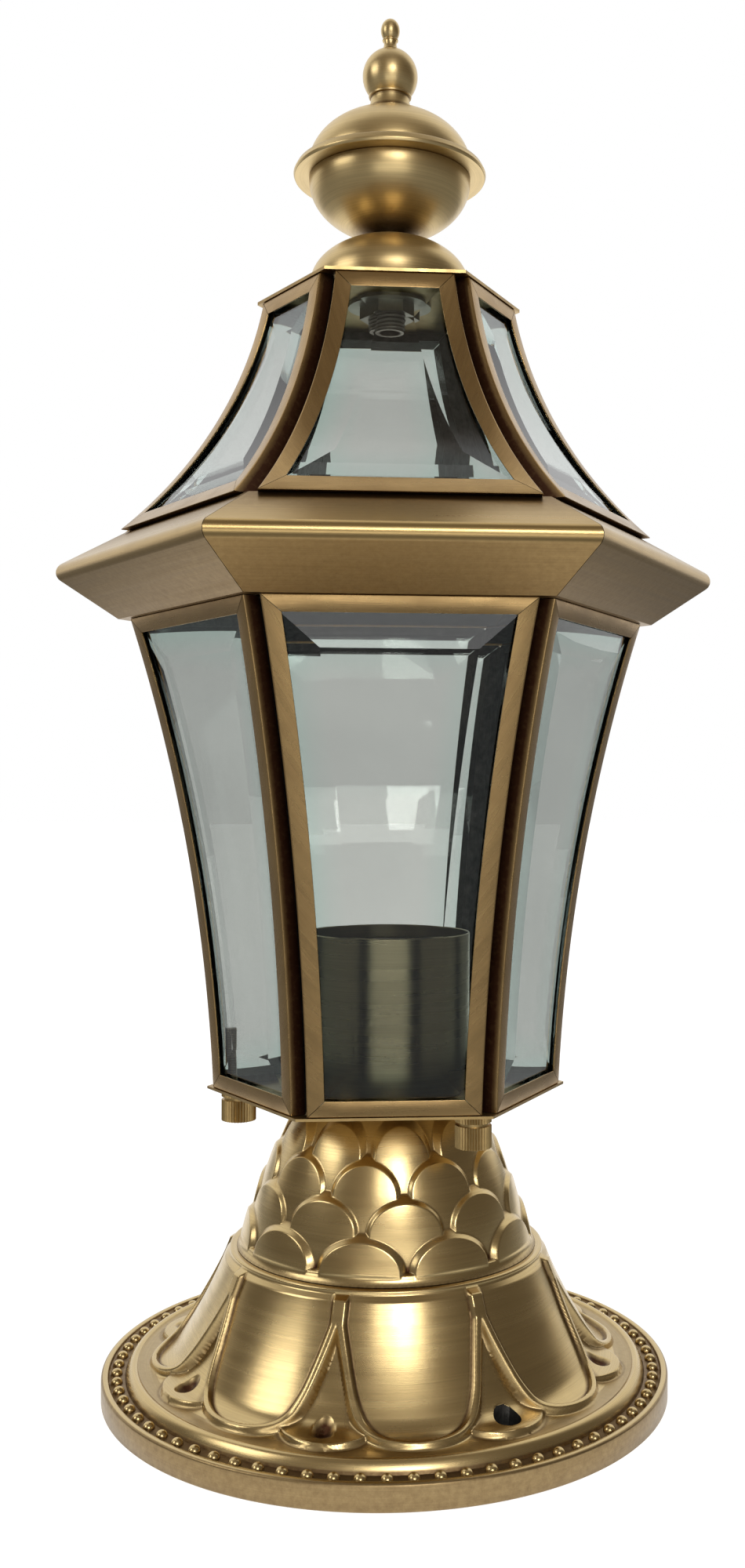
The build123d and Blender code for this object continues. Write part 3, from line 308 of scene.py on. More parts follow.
def arc_points(center, radius, start, end, steps):
    """Points on a circle between two angles."""
    angles = np.linspace(start, end, steps + 1)
    return [(center[0] + radius * math.cos(a), center[1] + radius * math.sin(a)) for a in angles]


def oval_points(height, width, rise, start, end, steps):
    """Points on an upright oval about a point on the axis, between two angles in degrees."""
    angles = np.radians(np.linspace(start, end, steps + 1))
    return [(width * math.cos(a), height + rise * math.sin(a)) for a in angles]


def tangent_arc(start, end, heading, steps):
    """Points on the circle that leaves start along heading and reaches end; gives the last heading too."""
    chord = np.subtract(end, start)
    length = np.linalg.norm(chord)
    chord_angle = math.atan2(chord[1], chord[0])
    bend = math.remainder(chord_angle - heading, math.tau)
    points = []
    for share in np.linspace(0, 1, steps + 1):
        reach = length * math.sin(bend * share) / math.sin(bend)
        angle = heading + bend * share
        points.append((start[0] + reach * math.cos(angle), start[1] + reach * math.sin(angle)))
    return points, heading + 2 * bend


def touch_angle(start, center, radius, sign):
    """Angle of the point where a line from start touches a circle."""
    dx, dz = start[0] - center[0], start[1] - center[1]
    return math.atan2(dz, dx) + sign * math.acos(radius / math.hypot(dx, dz))


def rounded(points, radii, steps):
    """Closed outline with its corners rounded, by one radius for each corner; 0 keeps it sharp."""
    result = []
    for index, (corner, radius) in enumerate(zip(points, radii)):
        here = np.array(corner, float)
        if radius <= 0:
            result.append(tuple(here))
            continue
        before = np.array(points[index - 1], float) - here
        after = np.array(points[(index + 1) % len(points)], float) - here
        before_way = before / np.linalg.norm(before)
        after_way = after / np.linalg.norm(after)
        half = math.acos(float(np.clip(np.dot(before_way, after_way), -1, 1))) / 2
        reach = min(radius / math.tan(half), np.linalg.norm(before) / 2, np.linalg.norm(after) / 2)
        first, last = here + before_way * reach, here + after_way * reach
        for share in np.linspace(0, 1, steps + 1):
            blend = first * (1 - share) ** 2 + 2 * here * share * (1 - share) + last * share**2
            result.append(tuple(blend))
    return result


def run_lengths(points):
    """Way along a line of points, 0 at its start."""
    steps = np.linalg.norm(np.diff(np.asarray(points, float), axis=0), axis=1)
    return np.concatenate([[0.0], np.cumsum(steps)])


def bowed_points(start, through, end, steps):
    """Points on the parabola from start to end that is at a third point halfway."""
    start, through, end = np.array(start), np.array(through), np.array(end)
    pull = 2 * through - (start + end) / 2
    share = np.linspace(0, 1, steps + 1)[:, None]
    points = start * (1 - share) ** 2 + 2 * share * (1 - share) * pull + end * share**2
    return [tuple(point) for point in points]


def beside(start, *offsets):
    """Points at offsets from a start, in millimetres."""
    return [(start[0] + out * MM, start[1] + up * MM) for out, up in offsets]


def circle(steps):
    """Angles of even steps round the axis, and the unit vector of each."""
    angles = np.arange(steps) * math.tau / steps
    return angles, np.stack([np.cos(angles), np.sin(angles)], -1)


def turned_points(profile, around, middle=(0.0, 0.0)):
    """Points of a profile of (distance from the axis, height), turned about an upright axis."""
    profile = np.asarray(profile, float)
    flat = profile[:, None, :1] * around
    upright = np.broadcast_to(profile[:, None, 1:], flat[..., :1].shape)
    return np.concatenate([flat + np.array(middle), upright], -1)


def turned_grain(radii, lengths, around):
    """Brushing places of metal that is brushed round the axis."""
    flat = np.reshape(radii, (-1, 1, 1)) * around
    return np.concatenate([flat, np.broadcast_to(lengths[:, None, None], (*flat.shape[:2], 1))], -1)


class Bow:
    """Circular profile between two points, swelling out by bow or, if negative, drawn in."""

    def __init__(self, low, high, bow):
        chord = math.dist(low, high)
        out = ((high[1] - low[1]) / chord, (low[0] - high[0]) / chord)
        self.sign = math.copysign(1.0, bow)
        self.radius = chord**2 / (8 * abs(bow)) + abs(bow) / 2
        reach = bow - self.sign * self.radius
        self.center = ((low[0] + high[0]) / 2 + out[0] * reach, (low[1] + high[1]) / 2 + out[1] * reach)

    def at(self, height, inset=0.0):
        """Distance from the axis at a height, on the profile moved in by inset."""
        rise = height - self.center[1]
        return self.center[0] + self.sign * math.sqrt((self.radius - self.sign * inset) ** 2 - rise**2)


# Meshes


class Shell:
    """Points and faces of one piece, with a brushing place and a value of patina and painted shade at each
    point.

    On a pane that value is the mask of the ground edge.
    """

    def __init__(self):
        self.points = np.zeros((0, 3))
        self.grain = np.zeros((0, 3))
        self.tarnish_and_shade = np.zeros(0)
        self.faces = []
        self.finish = []

    def add(self, points, grain, tarnish_and_shade):
        """Adds loose points and gives the number of the first."""
        first = len(self.points)
        points = np.asarray(points, float).reshape(-1, 3)
        self.points = np.vstack([self.points, points])
        self.grain = np.vstack([self.grain, np.asarray(grain, float).reshape(-1, 3)])
        self.tarnish_and_shade = np.concatenate([self.tarnish_and_shade, np.asarray(tarnish_and_shade, float)])
        return first

    def face(self, corners):
        """Adds one face in the first finish."""
        self.faces.append(list(corners))
        self.finish.append(0)

    def grid(self, points, grain, tarnish_and_shade, finish=0, wrap=False, loop=False):
        """Adds rows of points as quads; wrap joins the last column to the first, loop the last row."""
        rows, columns = points.shape[:2]
        first = self.add(points, grain, np.broadcast_to(tarnish_and_shade, (rows, columns)).ravel())
        ids = first + np.arange(rows * columns).reshape(rows, columns)
        if wrap:
            ids = np.hstack([ids, ids[:, :1]])
        if loop:
            ids = np.vstack([ids, ids[:1]])
        quads = np.stack([ids[:-1, :-1], ids[:-1, 1:], ids[1:, 1:], ids[1:, :-1]], -1)
        finishes = np.broadcast_to(np.reshape(finish, (-1, 1)), quads.shape[:2])
        self.faces += quads.reshape(-1, 4).tolist()
        self.finish += finishes.ravel().tolist()
        return ids

    def turn(self, angle):
        """Turns everything added so far about the axis."""
        turn = np.array(Matrix.Rotation(angle, 3, "Z"))
        self.points = self.points @ turn.T
        return self

    def lathe(self, profile, steps, tarnish_and_shade, closed, middle=(0.0, 0.0)):
        """Adds a profile of (distance from the axis, height), turned about an upright axis."""
        profile = np.asarray(profile, float)
        _, around = circle(steps)
        points = turned_points(profile, around, middle)
        widest = np.full(len(profile), profile[:, 0].max())
        grain = turned_grain(widest, run_lengths(profile), around)
        self.grid(points, grain, np.reshape(tarnish_and_shade, (-1, 1)), wrap=True, loop=closed)


def make_piece(name, shell, body, slot, materials, replaces=(), crease=35.0):
    """Makes an object of a shell, smooth but for edges sharper than the crease, riding on a body."""
    mesh = bpy.data.meshes.new(name)
    mesh.from_pydata(shell.points.tolist(), [], shell.faces)
    mesh.attributes.new("grain", "FLOAT_VECTOR", "POINT").data.foreach_set("vector", shell.grain.ravel())
    mesh.attributes.new("tarnish_and_shade", "FLOAT", "POINT").data.foreach_set("value", shell.tarnish_and_shade)
    mesh.polygons.foreach_set("material_index", shell.finish)
    work = bmesh.new()
    work.from_mesh(mesh)
    bmesh.ops.remove_doubles(work, verts=work.verts, dist=MERGE_DISTANCE)
    bmesh.ops.recalc_face_normals(work, faces=work.faces)
    work.to_mesh(mesh)
    work.free()
    for material in materials:
        mesh.materials.append(material)
    mesh.shade_smooth()
    mesh.set_sharp_from_angle(angle=math.radians(crease))
    piece = bpy.data.objects.new(name, mesh)
    bpy.context.scene.collection.objects.link(piece)
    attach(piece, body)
    if replaces:
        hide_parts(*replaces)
    return piece


def side_angle(index):
    """Turn of a side about the axis; the first faces -Y."""
    return -math.pi / 2 + index * math.tau / SIDES


# Shader groups and materials


def new_group(name, inputs, outputs):
    """Empty shader group with named sockets; gives the group and its two end nodes."""
    group = bpy.data.node_groups.new(name, "ShaderNodeTree")
    for label, kind, value in inputs:
        socket = group.interface.new_socket(label, in_out="INPUT", socket_type=kind)
        if value is not None:
            socket.default_value = value
    for label, kind in outputs:
        group.interface.new_socket(label, in_out="OUTPUT", socket_type=kind)
    return group, group.nodes.new("NodeGroupInput"), group.nodes.new("NodeGroupOutput")


def add_node(tree, kind, links=(), **values):
    """Adds a node, sets its values and links its inputs, given by number or name."""
    node = tree.nodes.new(kind)
    for key, value in values.items():
        setattr(node, key, value)
    for key, source in dict(links).items():
        if isinstance(source, bpy.types.NodeSocket):
            tree.links.new(source, node.inputs[key])
        else:
            node.inputs[key].default_value = source
    return node


def math_node(tree, operation, first, second=0.0, clamp=False):
    """Result of a sum on two values."""
    node = add_node(tree, "ShaderNodeMath", {0: first, 1: second}, operation=operation, use_clamp=clamp)
    return node.outputs[0]


def range_node(tree, value, low, high, to_low=0.0, to_high=1.0, smooth=False):
    """Value mapped from one range to another."""
    kind = "SMOOTHSTEP" if smooth else "LINEAR"
    links = {"Value": value, "From Min": low, "From Max": high, "To Min": to_low, "To Max": to_high}
    return add_node(tree, "ShaderNodeMapRange", links, interpolation_type=kind).outputs[0]


def mix_node(tree, factor, first, second, blend="MIX"):
    """Mix of two colours."""
    links = {0: factor, 6: first, 7: second}
    return add_node(tree, "ShaderNodeMix", links, data_type="RGBA", blend_type=blend).outputs[2]


def noise_node(tree, place, scale, detail, roughness):
    """Noise over a place."""
    links = {"Vector": place, "Scale": scale, "Detail": detail, "Roughness": roughness}
    return add_node(tree, "ShaderNodeTexNoise", links).outputs[0]


def bump_node(tree, height, strength, distance):
    """Normal of a fine relief."""
    links = {"Strength": strength, "Distance": distance, "Height": height}
    return add_node(tree, "ShaderNodeBump", links).outputs[0]


def brush_group():
    """Long fine scratches along the brushing direction, and broad uneven bands."""
    group, start, end = new_group(
        "Brushing",
        [
            ("Grain", "NodeSocketVector", None),
            ("Along", "NodeSocketFloat", 18.0),
            ("Across", "NodeSocketFloat", 3200.0),
        ],
        [("Scratch", "NodeSocketFloat"), ("Band", "NodeSocketFloat")],
    )

    def stretched_noise(along, across, detail, roughness):
        scale = add_node(group, "ShaderNodeCombineXYZ", {0: along, 1: along, 2: across}).outputs[0]
        links = {0: start.outputs["Grain"], 1: scale}
        place = add_node(group, "ShaderNodeVectorMath", links, operation="MULTIPLY").outputs[0]
        return noise_node(group, place, 1.0, detail, roughness)

    along, across = start.outputs["Along"], start.outputs["Across"]
    scratch = stretched_noise(along, across, 3.0, 0.65)
    wide_along = math_node(group, "MULTIPLY", along, 0.5)
    wide_across = math_node(group, "MULTIPLY", across, 0.09)
    band = stretched_noise(wide_along, wide_across, 2.0, 0.5)
    group.links.new(scratch, end.inputs["Scratch"])
    group.links.new(band, end.inputs["Band"])


def patina_and_shade_group():
    """Brown patina in the hollows and brown painted shade, with uneven edges, and faint blotches on the open
    metal.
    """
    group, start, end = new_group(
        "Tarnish and shade",
        [
            ("Clean", "NodeSocketColor", (0.6, 0.4, 0.2, 1)),
            ("Dark", "NodeSocketColor", (0.1, 0.05, 0.02, 1)),
            ("Hollow", "NodeSocketFloat", 0.0),
            ("Blotch", "NodeSocketFloat", 0.25),
            ("Scratch", "NodeSocketFloat", 0.5),
        ],
        [("Color", "NodeSocketColor"), ("Amount", "NodeSocketFloat")],
    )
    place = add_node(group, "ShaderNodeTexCoord").outputs["Object"]
    cloud = noise_node(group, place, 55.0, 4.0, 0.6)
    speck = noise_node(group, place, 420.0, 3.0, 0.7)
    cloudy = range_node(group, cloud, 0.35, 0.75)
    uneven = math_node(group, "ADD", math_node(group, "MULTIPLY", speck, 0.7), 0.65)
    hollow = math_node(group, "MULTIPLY", start.outputs["Hollow"], uneven, clamp=True)
    open_part = math_node(group, "MULTIPLY", cloudy, start.outputs["Blotch"])
    amount = math_node(group, "MAXIMUM", hollow, open_part, clamp=True)
    tone = range_node(group, start.outputs["Scratch"], 0.3, 0.7, 0.9, 1.08)
    lit = mix_node(group, 1.0, start.outputs["Clean"], tone, "MULTIPLY")
    color = mix_node(group, amount, lit, start.outputs["Dark"])
    group.links.new(color, end.inputs["Color"])
    group.links.new(amount, end.inputs["Amount"])


def new_material(name):
    """Empty node material; gives the material, its tree and its main shader."""
    material = bpy.data.materials.new(name)
    material.use_nodes = True
    tree = material.node_tree
    return material, tree, tree.nodes["Principled BSDF"]


def metal_material(name, settings, color, along, across, rough, blotch, scratch, anisotropy=0.0, plain=False):
    """Brushed metal, darkened by the patina and painted shade that its points hold; plain is for solids that
    hold no brushing places.
    """
    _, tree, shader = new_material(name)
    if plain:
        grain = add_node(tree, "ShaderNodeTexCoord").outputs["Object"]
    else:
        grain = add_node(tree, "ShaderNodeAttribute", attribute_name="grain").outputs["Vector"]
    groups = bpy.data.node_groups
    links = {"Grain": grain, "Along": along, "Across": across}
    brush = add_node(tree, "ShaderNodeGroup", links, node_tree=groups["Brushing"])
    links = {"Clean": (*getattr(settings, color), 1), "Dark": (*settings.tarnish_and_shade, 1), "Blotch": blotch}
    coat = add_node(tree, "ShaderNodeGroup", links, node_tree=groups["Tarnish and shade"])
    if not plain:
        hollow = add_node(tree, "ShaderNodeAttribute", attribute_name="tarnish_and_shade").outputs["Fac"]
        tree.links.new(hollow, coat.inputs["Hollow"])
    tree.links.new(brush.outputs["Scratch"], coat.inputs["Scratch"])
    tree.links.new(coat.outputs["Color"], shader.inputs["Base Color"])
    smoothest, dullest, dull_tarnish, scratch_depth = 0.86 * rough, 1.14 * rough, 0.22, 0.3 * MM
    band = range_node(tree, brush.outputs["Band"], 0.3, 0.7, smoothest, dullest)
    worn = math_node(tree, "MULTIPLY", coat.outputs["Amount"], dull_tarnish)
    tree.links.new(math_node(tree, "ADD", band, worn, clamp=True), shader.inputs["Roughness"])
    normal = bump_node(tree, brush.outputs["Scratch"], scratch, scratch_depth)
    tree.links.new(normal, shader.inputs["Normal"])
    shader.inputs["Metallic"].default_value = 1.0
    if anisotropy:
        shader.inputs["Anisotropic"].default_value = anisotropy
        shader.inputs["Anisotropic Rotation"].default_value = 0.25
        tangent = add_node(tree, "ShaderNodeTangent", direction_type="RADIAL", axis="Z")
        tree.links.new(tangent.outputs[0], shader.inputs["Tangent"])


def black_inner_material(name, color):
    """Black inner metal with lumpy solder; on the walls of the foot's screw holes the black is painted shade.
    """
    _, tree, shader = new_material(name)
    place = add_node(tree, "ShaderNodeTexCoord").outputs["Object"]
    lumps = noise_node(tree, place, 260.0, 4.0, 0.6)
    shade = range_node(tree, lumps, 0.35, 0.75)
    lighter = tuple(min(1.0, part * 3.2 + 0.012) for part in color)
    tree.links.new(mix_node(tree, shade, (*color, 1), (*lighter, 1)), shader.inputs["Base Color"])
    tree.links.new(range_node(tree, lumps, 0.3, 0.7, 0.62, 0.36), shader.inputs["Roughness"])
    tree.links.new(bump_node(tree, lumps, 0.5, 0.6 * MM), shader.inputs["Normal"])
    shader.inputs["Metallic"].default_value = 0.6
    shader.inputs["Specular IOR Level"].default_value = 0.3


def glass_material(name, settings):
    """Grey glass with faint smears, green at the ground edges and along long ways through it."""
    _, tree, shader = new_material(name)
    place = add_node(tree, "ShaderNodeTexCoord").outputs["Object"]
    smear = noise_node(tree, place, 14.0, 3.0, 0.55)
    clean, dull = (*settings.tint, 1), (*[part * 0.94 for part in settings.tint], 1)
    grey = mix_node(tree, range_node(tree, smear, 0.4, 0.7), clean, dull)
    edge = add_node(tree, "ShaderNodeAttribute", attribute_name="tarnish_and_shade").outputs["Fac"]
    tree.links.new(mix_node(tree, edge, grey, (*settings.bevel_tint, 1)), shader.inputs["Base Color"])
    tree.links.new(range_node(tree, smear, 0.55, 0.8, 0.0, 0.02), shader.inputs["Roughness"])
    shader.inputs["Metallic"].default_value = 0.0
    shader.inputs["Transmission Weight"].default_value = 1.0
    shader.inputs["IOR"].default_value = 1.5
    depth = add_node(tree, "ShaderNodeVolumeAbsorption")
    depth.inputs["Color"].default_value = (*settings.deep_tint, 1)
    depth.inputs["Density"].default_value = settings.deep_density
    tree.links.new(depth.outputs[0], tree.nodes["Material Output"].inputs["Volume"])


def moulded_material(name, color):
    """Moulded holder plastic with a fine grain."""
    _, tree, shader = new_material(name)
    place = add_node(tree, "ShaderNodeTexCoord").outputs["Object"]
    grain = noise_node(tree, place, 900.0, 2.0, 0.5)
    lighter = tuple(part * 1.8 for part in color)
    tree.links.new(mix_node(tree, grain, (*color, 1), (*lighter, 1)), shader.inputs["Base Color"])
    tree.links.new(range_node(tree, grain, 0.3, 0.7, 0.34, 0.5), shader.inputs["Roughness"])
    tree.links.new(bump_node(tree, grain, 0.15, 0.2 * MM), shader.inputs["Normal"])


def make_finishes(settings):
    """Makes every material of the light."""
    brush_group()
    patina_and_shade_group()
    for name, values in METALS.items():
        metal_material(name, settings.finish, **values)
    black_inner_material("Inside black", settings.finish.inside)
    glass_material("Bevelled glass", settings.glass)
    moulded_material("Holder plastic", HOLDER_BLACK)


def finish_named(*names):
    """Materials by name."""
    return [bpy.data.materials[name] for name in names]


# Foot


def petal_depths(x, y):
    """How far a point lies inside a petal's own edge, and inside the line to the next petal, in plan.

    x runs along the petal and y across it.
    """
    half = math.pi / PETALS
    split_r, end_r, end_round = 69.8 * MM, 94.4 * MM, 25.4 * MM
    center = np.array([end_r - end_round, 0.0])
    split = np.array([split_r * math.cos(half), split_r * math.sin(half)])
    end_angle = touch_angle(split, center, end_round, -1)
    touch = center + end_round * np.array([math.cos(end_angle), math.sin(end_angle)])
    way = (touch - split) / np.linalg.norm(touch - split)
    ridge = x * math.sin(half) - y * math.cos(half)
    side = (x - split[0]) * way[1] - (y - split[1]) * way[0]
    at_end = np.arctan2(y, x - center[0]) < end_angle
    return np.where(at_end, end_round - np.hypot(x - center[0], y), side), ridge


def smooth_step(value, low, high):
    """Smooth rise from 0 to 1 between two values."""
    share = np.clip((value - low) / (high - low), 0, 1)
    return share * share * (3 - 2 * share)


def mark_line(depth, width):
    """Soft line where a depth is 0."""
    return np.exp(-((depth / width) ** 2))


def foot_relief(r, angle, settings):
    """Height of the cast relief above the plain flare at a place in plan, and its darkening."""
    pitch = math.tau / PETALS
    off = np.mod(angle - PETAL_ANGLE + pitch / 2, pitch) - pitch / 2
    edge, ridge = petal_depths(r * np.cos(off), np.abs(r * np.sin(off)))
    # Petal: a rounded rim round a face that swells a little
    width, shared_rim, swell_reach = settings.rim_width, 1.2 * MM, 8.0 * MM
    rim_slope, face_start, face_end, groove = 0.45 * width, 0.78 * width, 1.08 * width, 1.06 * width
    inside = np.minimum(edge, ridge + shared_rim)
    rim = settings.rim_height * smooth_step(edge, 0, rim_slope)
    face = settings.face_height + settings.swell * (1 - np.exp(-np.maximum(inside - width, 0) / swell_reach))
    in_face = smooth_step(inside, face_start, face_end)
    petal = rim * (1 - in_face) + face * in_face
    # Ear: a tongue between two petals, higher at its end, with a dimple
    ear_round, ear_end, ear_slope, dimple_r = 19.0 * MM, 95.4 * MM, 1.4 * MM, 4.4 * MM
    waist_start, waist_end, rise_end = 68.0 * MM, 78.0 * MM, 92.0 * MM
    end_lift, waist_drop, tucked = 2.05, 0.8, 0.3 * width
    ear_off = np.abs(off) - pitch / 2
    ear_x, ear_y = r * np.cos(ear_off), r * np.sin(ear_off)
    ear_inside = ear_round - np.hypot(ear_x - (ear_end - ear_round), ear_y)
    lift = end_lift * smooth_step(r, waist_end, rise_end)
    lift -= waist_drop * smooth_step(r, waist_start, waist_end)
    dimple = np.clip(1 - np.hypot(ear_x - SCREW_RING_R, ear_y) / dimple_r, 0, 1)
    ear = settings.ear_height * lift * smooth_step(ear_inside, 0, ear_slope) - settings.dimple_depth * dimple
    relief = np.where(edge > 0, np.maximum(petal, ear * (edge < tucked)), ear)
    # Darkening: patina with painted shade in the groove inside each rim, patina below the rims, round the
    # ears and in the dimples
    marks = (
        0.85 * mark_line(inside - groove, 0.65 * MM),
        0.45 * mark_line(edge, 1.3 * MM) * (ear_inside > 0),
        0.6 * mark_line(ear_inside + 0.6 * MM, 1.0 * MM) * (edge < 0),
        np.minimum(2.2 * dimple, 1),
    )
    return relief, np.maximum.reduce(marks)


def foot_profile():
    """Closed profile of the foot, the share of the relief at each point, and the count of outside points."""
    wide, heading = tangent_arc(FLARE_FOOT, FLARE_KNEE, math.pi, 36)
    tall, _ = tangent_arc(FLARE_KNEE, FLARE_LIP, heading, 80)
    flare = (wide + tall[1:])[::-1]
    lip_soft, seat_nick, relief_start = 1.0 * MM, 0.5 * MM, 5
    lip_center = (FLARE_LIP[0] - lip_soft, LIP_TOP - lip_soft)
    lip = [(SEAT_R, LEDGE_TOP), (SEAT_R, LIP_TOP - seat_nick), (SEAT_R + seat_nick, LIP_TOP)]
    lip += arc_points(lip_center, lip_soft, math.pi / 2, 0, 5)
    rows = [(point, 0.0) for point in lip]
    rows += [(point, min(1.0, index / relief_start)) for index, point in enumerate(flare)]
    rows += [((r, FLARE_FOOT[1]), 1.0) for r in np.linspace(FLARE_FOOT[0], MOULDING_IN, 9)[1:]]
    crown = ((MOULDING_IN + MOULDING_OUT) / 2, MOULDING_TOP)
    moulding = bowed_points((MOULDING_IN, FLARE_FOOT[1]), crown, (MOULDING_OUT, CHANNEL_FLOOR), 14)
    channel_nick, rim_nick, rim_soft, foot_nick = 0.5 * MM, 0.4 * MM, 1.2 * MM, 0.6 * MM
    rim = [(CHANNEL_OUT - channel_nick, CHANNEL_FLOOR), (CHANNEL_OUT, CHANNEL_FLOOR + channel_nick)]
    rim += [(CHANNEL_OUT, RIM_TOP - rim_nick), (CHANNEL_OUT + rim_nick, RIM_TOP)]
    rim += arc_points((FOOT_R - rim_soft, RIM_TOP - rim_soft), rim_soft, math.pi / 2, 0, 6)
    rim += [(FOOT_R, foot_nick), (FOOT_R - foot_nick, 0)]
    hollow = [(r - FOOT_WALL, z - FOOT_WALL) for r, z in flare[::-1] if z - FOOT_WALL < LEDGE_BOTTOM]
    under = [(FOOT_R - FOOT_WALL, 0), (FOOT_R - FOOT_WALL, CHANNEL_FLOOR - FOOT_WALL)]
    under += [(MOULDING_OUT - FOOT_WALL, CHANNEL_FLOOR - FOOT_WALL), (MOULDING_OUT - FOOT_WALL, hollow[0][1])]
    under += hollow
    under += [(hollow[-1][0], LEDGE_BOTTOM), (LEDGE_HOLE_R, LEDGE_BOTTOM), (LEDGE_HOLE_R, LEDGE_TOP)]
    rows += [(point, 0.0) for point in moulding[1:] + rim + under]
    profile = np.array([point for point, _ in rows])
    return profile, np.array([share for _, share in rows]), len(rows) - len(under)


def outward(profile):
    """Unit vectors square to a closed profile that runs clockwise."""
    along = np.roll(profile, -1, axis=0) - np.roll(profile, 1, axis=0)
    along /= np.linalg.norm(along, axis=1, keepdims=True)
    return np.stack([-along[:, 1], along[:, 0]], -1)


def hollowness(height, reach_rows, reach_columns, depth):
    """Tarnish where relief lies lower than its surroundings, from 0 to 1."""
    passes = 3
    wide = height.copy()
    for _ in range(passes):
        total = np.zeros_like(wide)
        for shift in range(-reach_columns, reach_columns + 1):
            total += np.roll(wide, shift, axis=1)
        wide = total / (2 * reach_columns + 1)
        padded = np.pad(wide, ((reach_rows, reach_rows), (0, 0)), mode="edge")
        total = np.zeros_like(wide)
        for shift in range(2 * reach_rows + 1):
            total += padded[shift:shift + len(wide)]
        wide = total / (2 * reach_rows + 1)
    return np.clip((wide - height) / depth, 0, 1)


def foot_shell(settings):
    """The cast foot with petals, ears, dimples and pearls, and the angles of its screw holes."""
    profile, share, outside_rows = foot_profile()
    columns_per_petal = 128
    angles, around = circle(PETALS * columns_per_petal)
    normal = outward(profile)
    relief, tarnish_and_shade = foot_relief(profile[:, :1] * np.ones(len(angles)), angles[None], settings)
    rise = relief * share[:, None]
    tarnish_and_shade *= share[:, None]
    r = profile[:, :1] + normal[:, :1] * rise
    z = profile[:, 1:] + normal[:, 1:] * rise
    x, y = r * np.cos(angles), r * np.sin(angles)
    screw_angles = [PETAL_ANGLE + math.pi / PETALS + turn for turn in (0, math.pi)]
    for angle in screw_angles:
        near = np.hypot(x - SCREW_RING_R * math.cos(angle), y - SCREW_RING_R * math.sin(angle)) < SCREW_BOSS_R
        near[:outside_rows] = False
        z = np.where(near, SCREW_BOSS_BOTTOM, z)
    # Patina on the underside, in the pearls' channel, on the seat and on the ground round the ears; painted
    # shade on the rim's wall
    under_dark, channel_dark, wall_painted_shade, seat_dark = 0.7, 0.75, 0.58, 0.8
    ground_r, ground_dark, ground_clean, clean_rise = 92.0 * MM, 0.35, 0.3, 0.8 * MM
    out, up = profile.T
    outside = np.arange(len(profile)) < outside_rows
    tarnish_and_shade[~outside] = under_dark
    in_channel = (out > MOULDING_OUT - 1.6 * MM) & (out < CHANNEL_OUT + 0.1 * MM) & (up < RIM_TOP)
    tarnish_and_shade[outside & in_channel] = channel_dark
    # The rim's wall is darkened as painted shade, standing in for a dimmer reflection
    tarnish_and_shade[outside & (out > FOOT_R - 0.7 * MM)] = wall_painted_shade
    tarnish_and_shade[outside & (out < SEAT_R + 0.2 * MM)] = seat_dark
    ground = outside & (out > ground_r) & (out < MOULDING_IN + 0.6 * MM)
    shade = ground_dark - ground_clean * np.clip(rise[ground] / clean_rise, 0, 1)
    tarnish_and_shade[ground] = np.maximum(tarnish_and_shade[ground], shade)
    shell = Shell()
    grain = turned_grain(profile[:, 0], run_lengths(profile), around)
    shell.grid(np.stack([x, y, z], -1), grain, tarnish_and_shade, wrap=True, loop=True)
    add_pearls(shell, settings)
    return shell, screw_angles


def add_pearls(shell, settings):
    """Pearls in the channel round the rim."""
    radius, sunk_angle = settings.bead_radius, 1.9
    shades = np.array([0.0, 0.0, 0.0, 0.0, 0.05, 0.1, 0.2, 0.5, 0.8])
    angles = np.linspace(0.0, sunk_angle, len(shades))
    profile = [(radius * math.sin(a), CHANNEL_FLOOR + radius * math.cos(a)) for a in angles]
    for way in circle(settings.bead_count)[1]:
        shell.lathe(profile, 14, shades, closed=False, middle=BEAD_RING_R * way)


def drill_screw_holes(piece, screw_angles):
    """Cuts the screw holes through the foot's wall and gives each a wall of its own."""
    mesh = piece.data
    work = bmesh.new()
    work.from_mesh(mesh)
    for angle in screw_angles:
        middle = SCREW_RING_R * Vector((math.cos(angle), math.sin(angle)))
        cut = [face for face in work.faces if (face.calc_center_median().xy - middle).length < SCREW_HOLE_R]
        bmesh.ops.delete(work, geom=cut, context="FACES")
        edges = [edge for edge in work.edges if edge.is_boundary]
        edges = [edge for edge in edges if (edge.verts[0].co.xy - middle).length < SCREW_BOSS_R]
        for vert in {vert for edge in edges for vert in edge.verts}:
            place = middle + (vert.co.xy - middle).normalized() * SCREW_HOLE_R
            vert.co.x, vert.co.y = place
        # The holes' walls take the black inner finish: painted shade inside the holes
        for face in bmesh.ops.bridge_loops(work, edges=edges)["faces"]:
            face.material_index = 1
    bmesh.ops.recalc_face_normals(work, faces=work.faces)
    work.to_mesh(mesh)
    work.free()
    mesh.shade_smooth()
    mesh.set_sharp_from_angle(angle=math.radians(FOOT_CREASE))


class PILLARLIGHT_OT_foot(bpy.types.Operator):
    """Cast foot with eight petals, ears between them and a beaded rim"""

    bl_idname = "pillar_light.foot"
    bl_label = "Petalled foot"

    def execute(self, context):
        shell, screw_angles = foot_shell(context.scene.pillar_light.foot)
        materials = finish_named("Cast brass", "Inside black")
        slot = "antique_brass_cast"
        piece = make_piece("foot_casting", shell, "base", slot, materials, ("petal_foot",), FOOT_CREASE)
        drill_screw_holes(piece, screw_angles)
        return {"FINISHED"}


# Dome


# Plain line of the dome under its scales
DOME_LINE_BOTTOM = DOME_BOTTOM + 6.0 * MM
DOME_LINE = Bow((56.0 * MM, DOME_LINE_BOTTOM), (29.0 * MM, DOME_TOP), bow=3.0 * MM)


def dome_radius(height):
    """Radius of the plain dome at a height."""
    return DOME_LINE.at(min(max(height, DOME_LINE_BOTTOM), DOME_TOP))


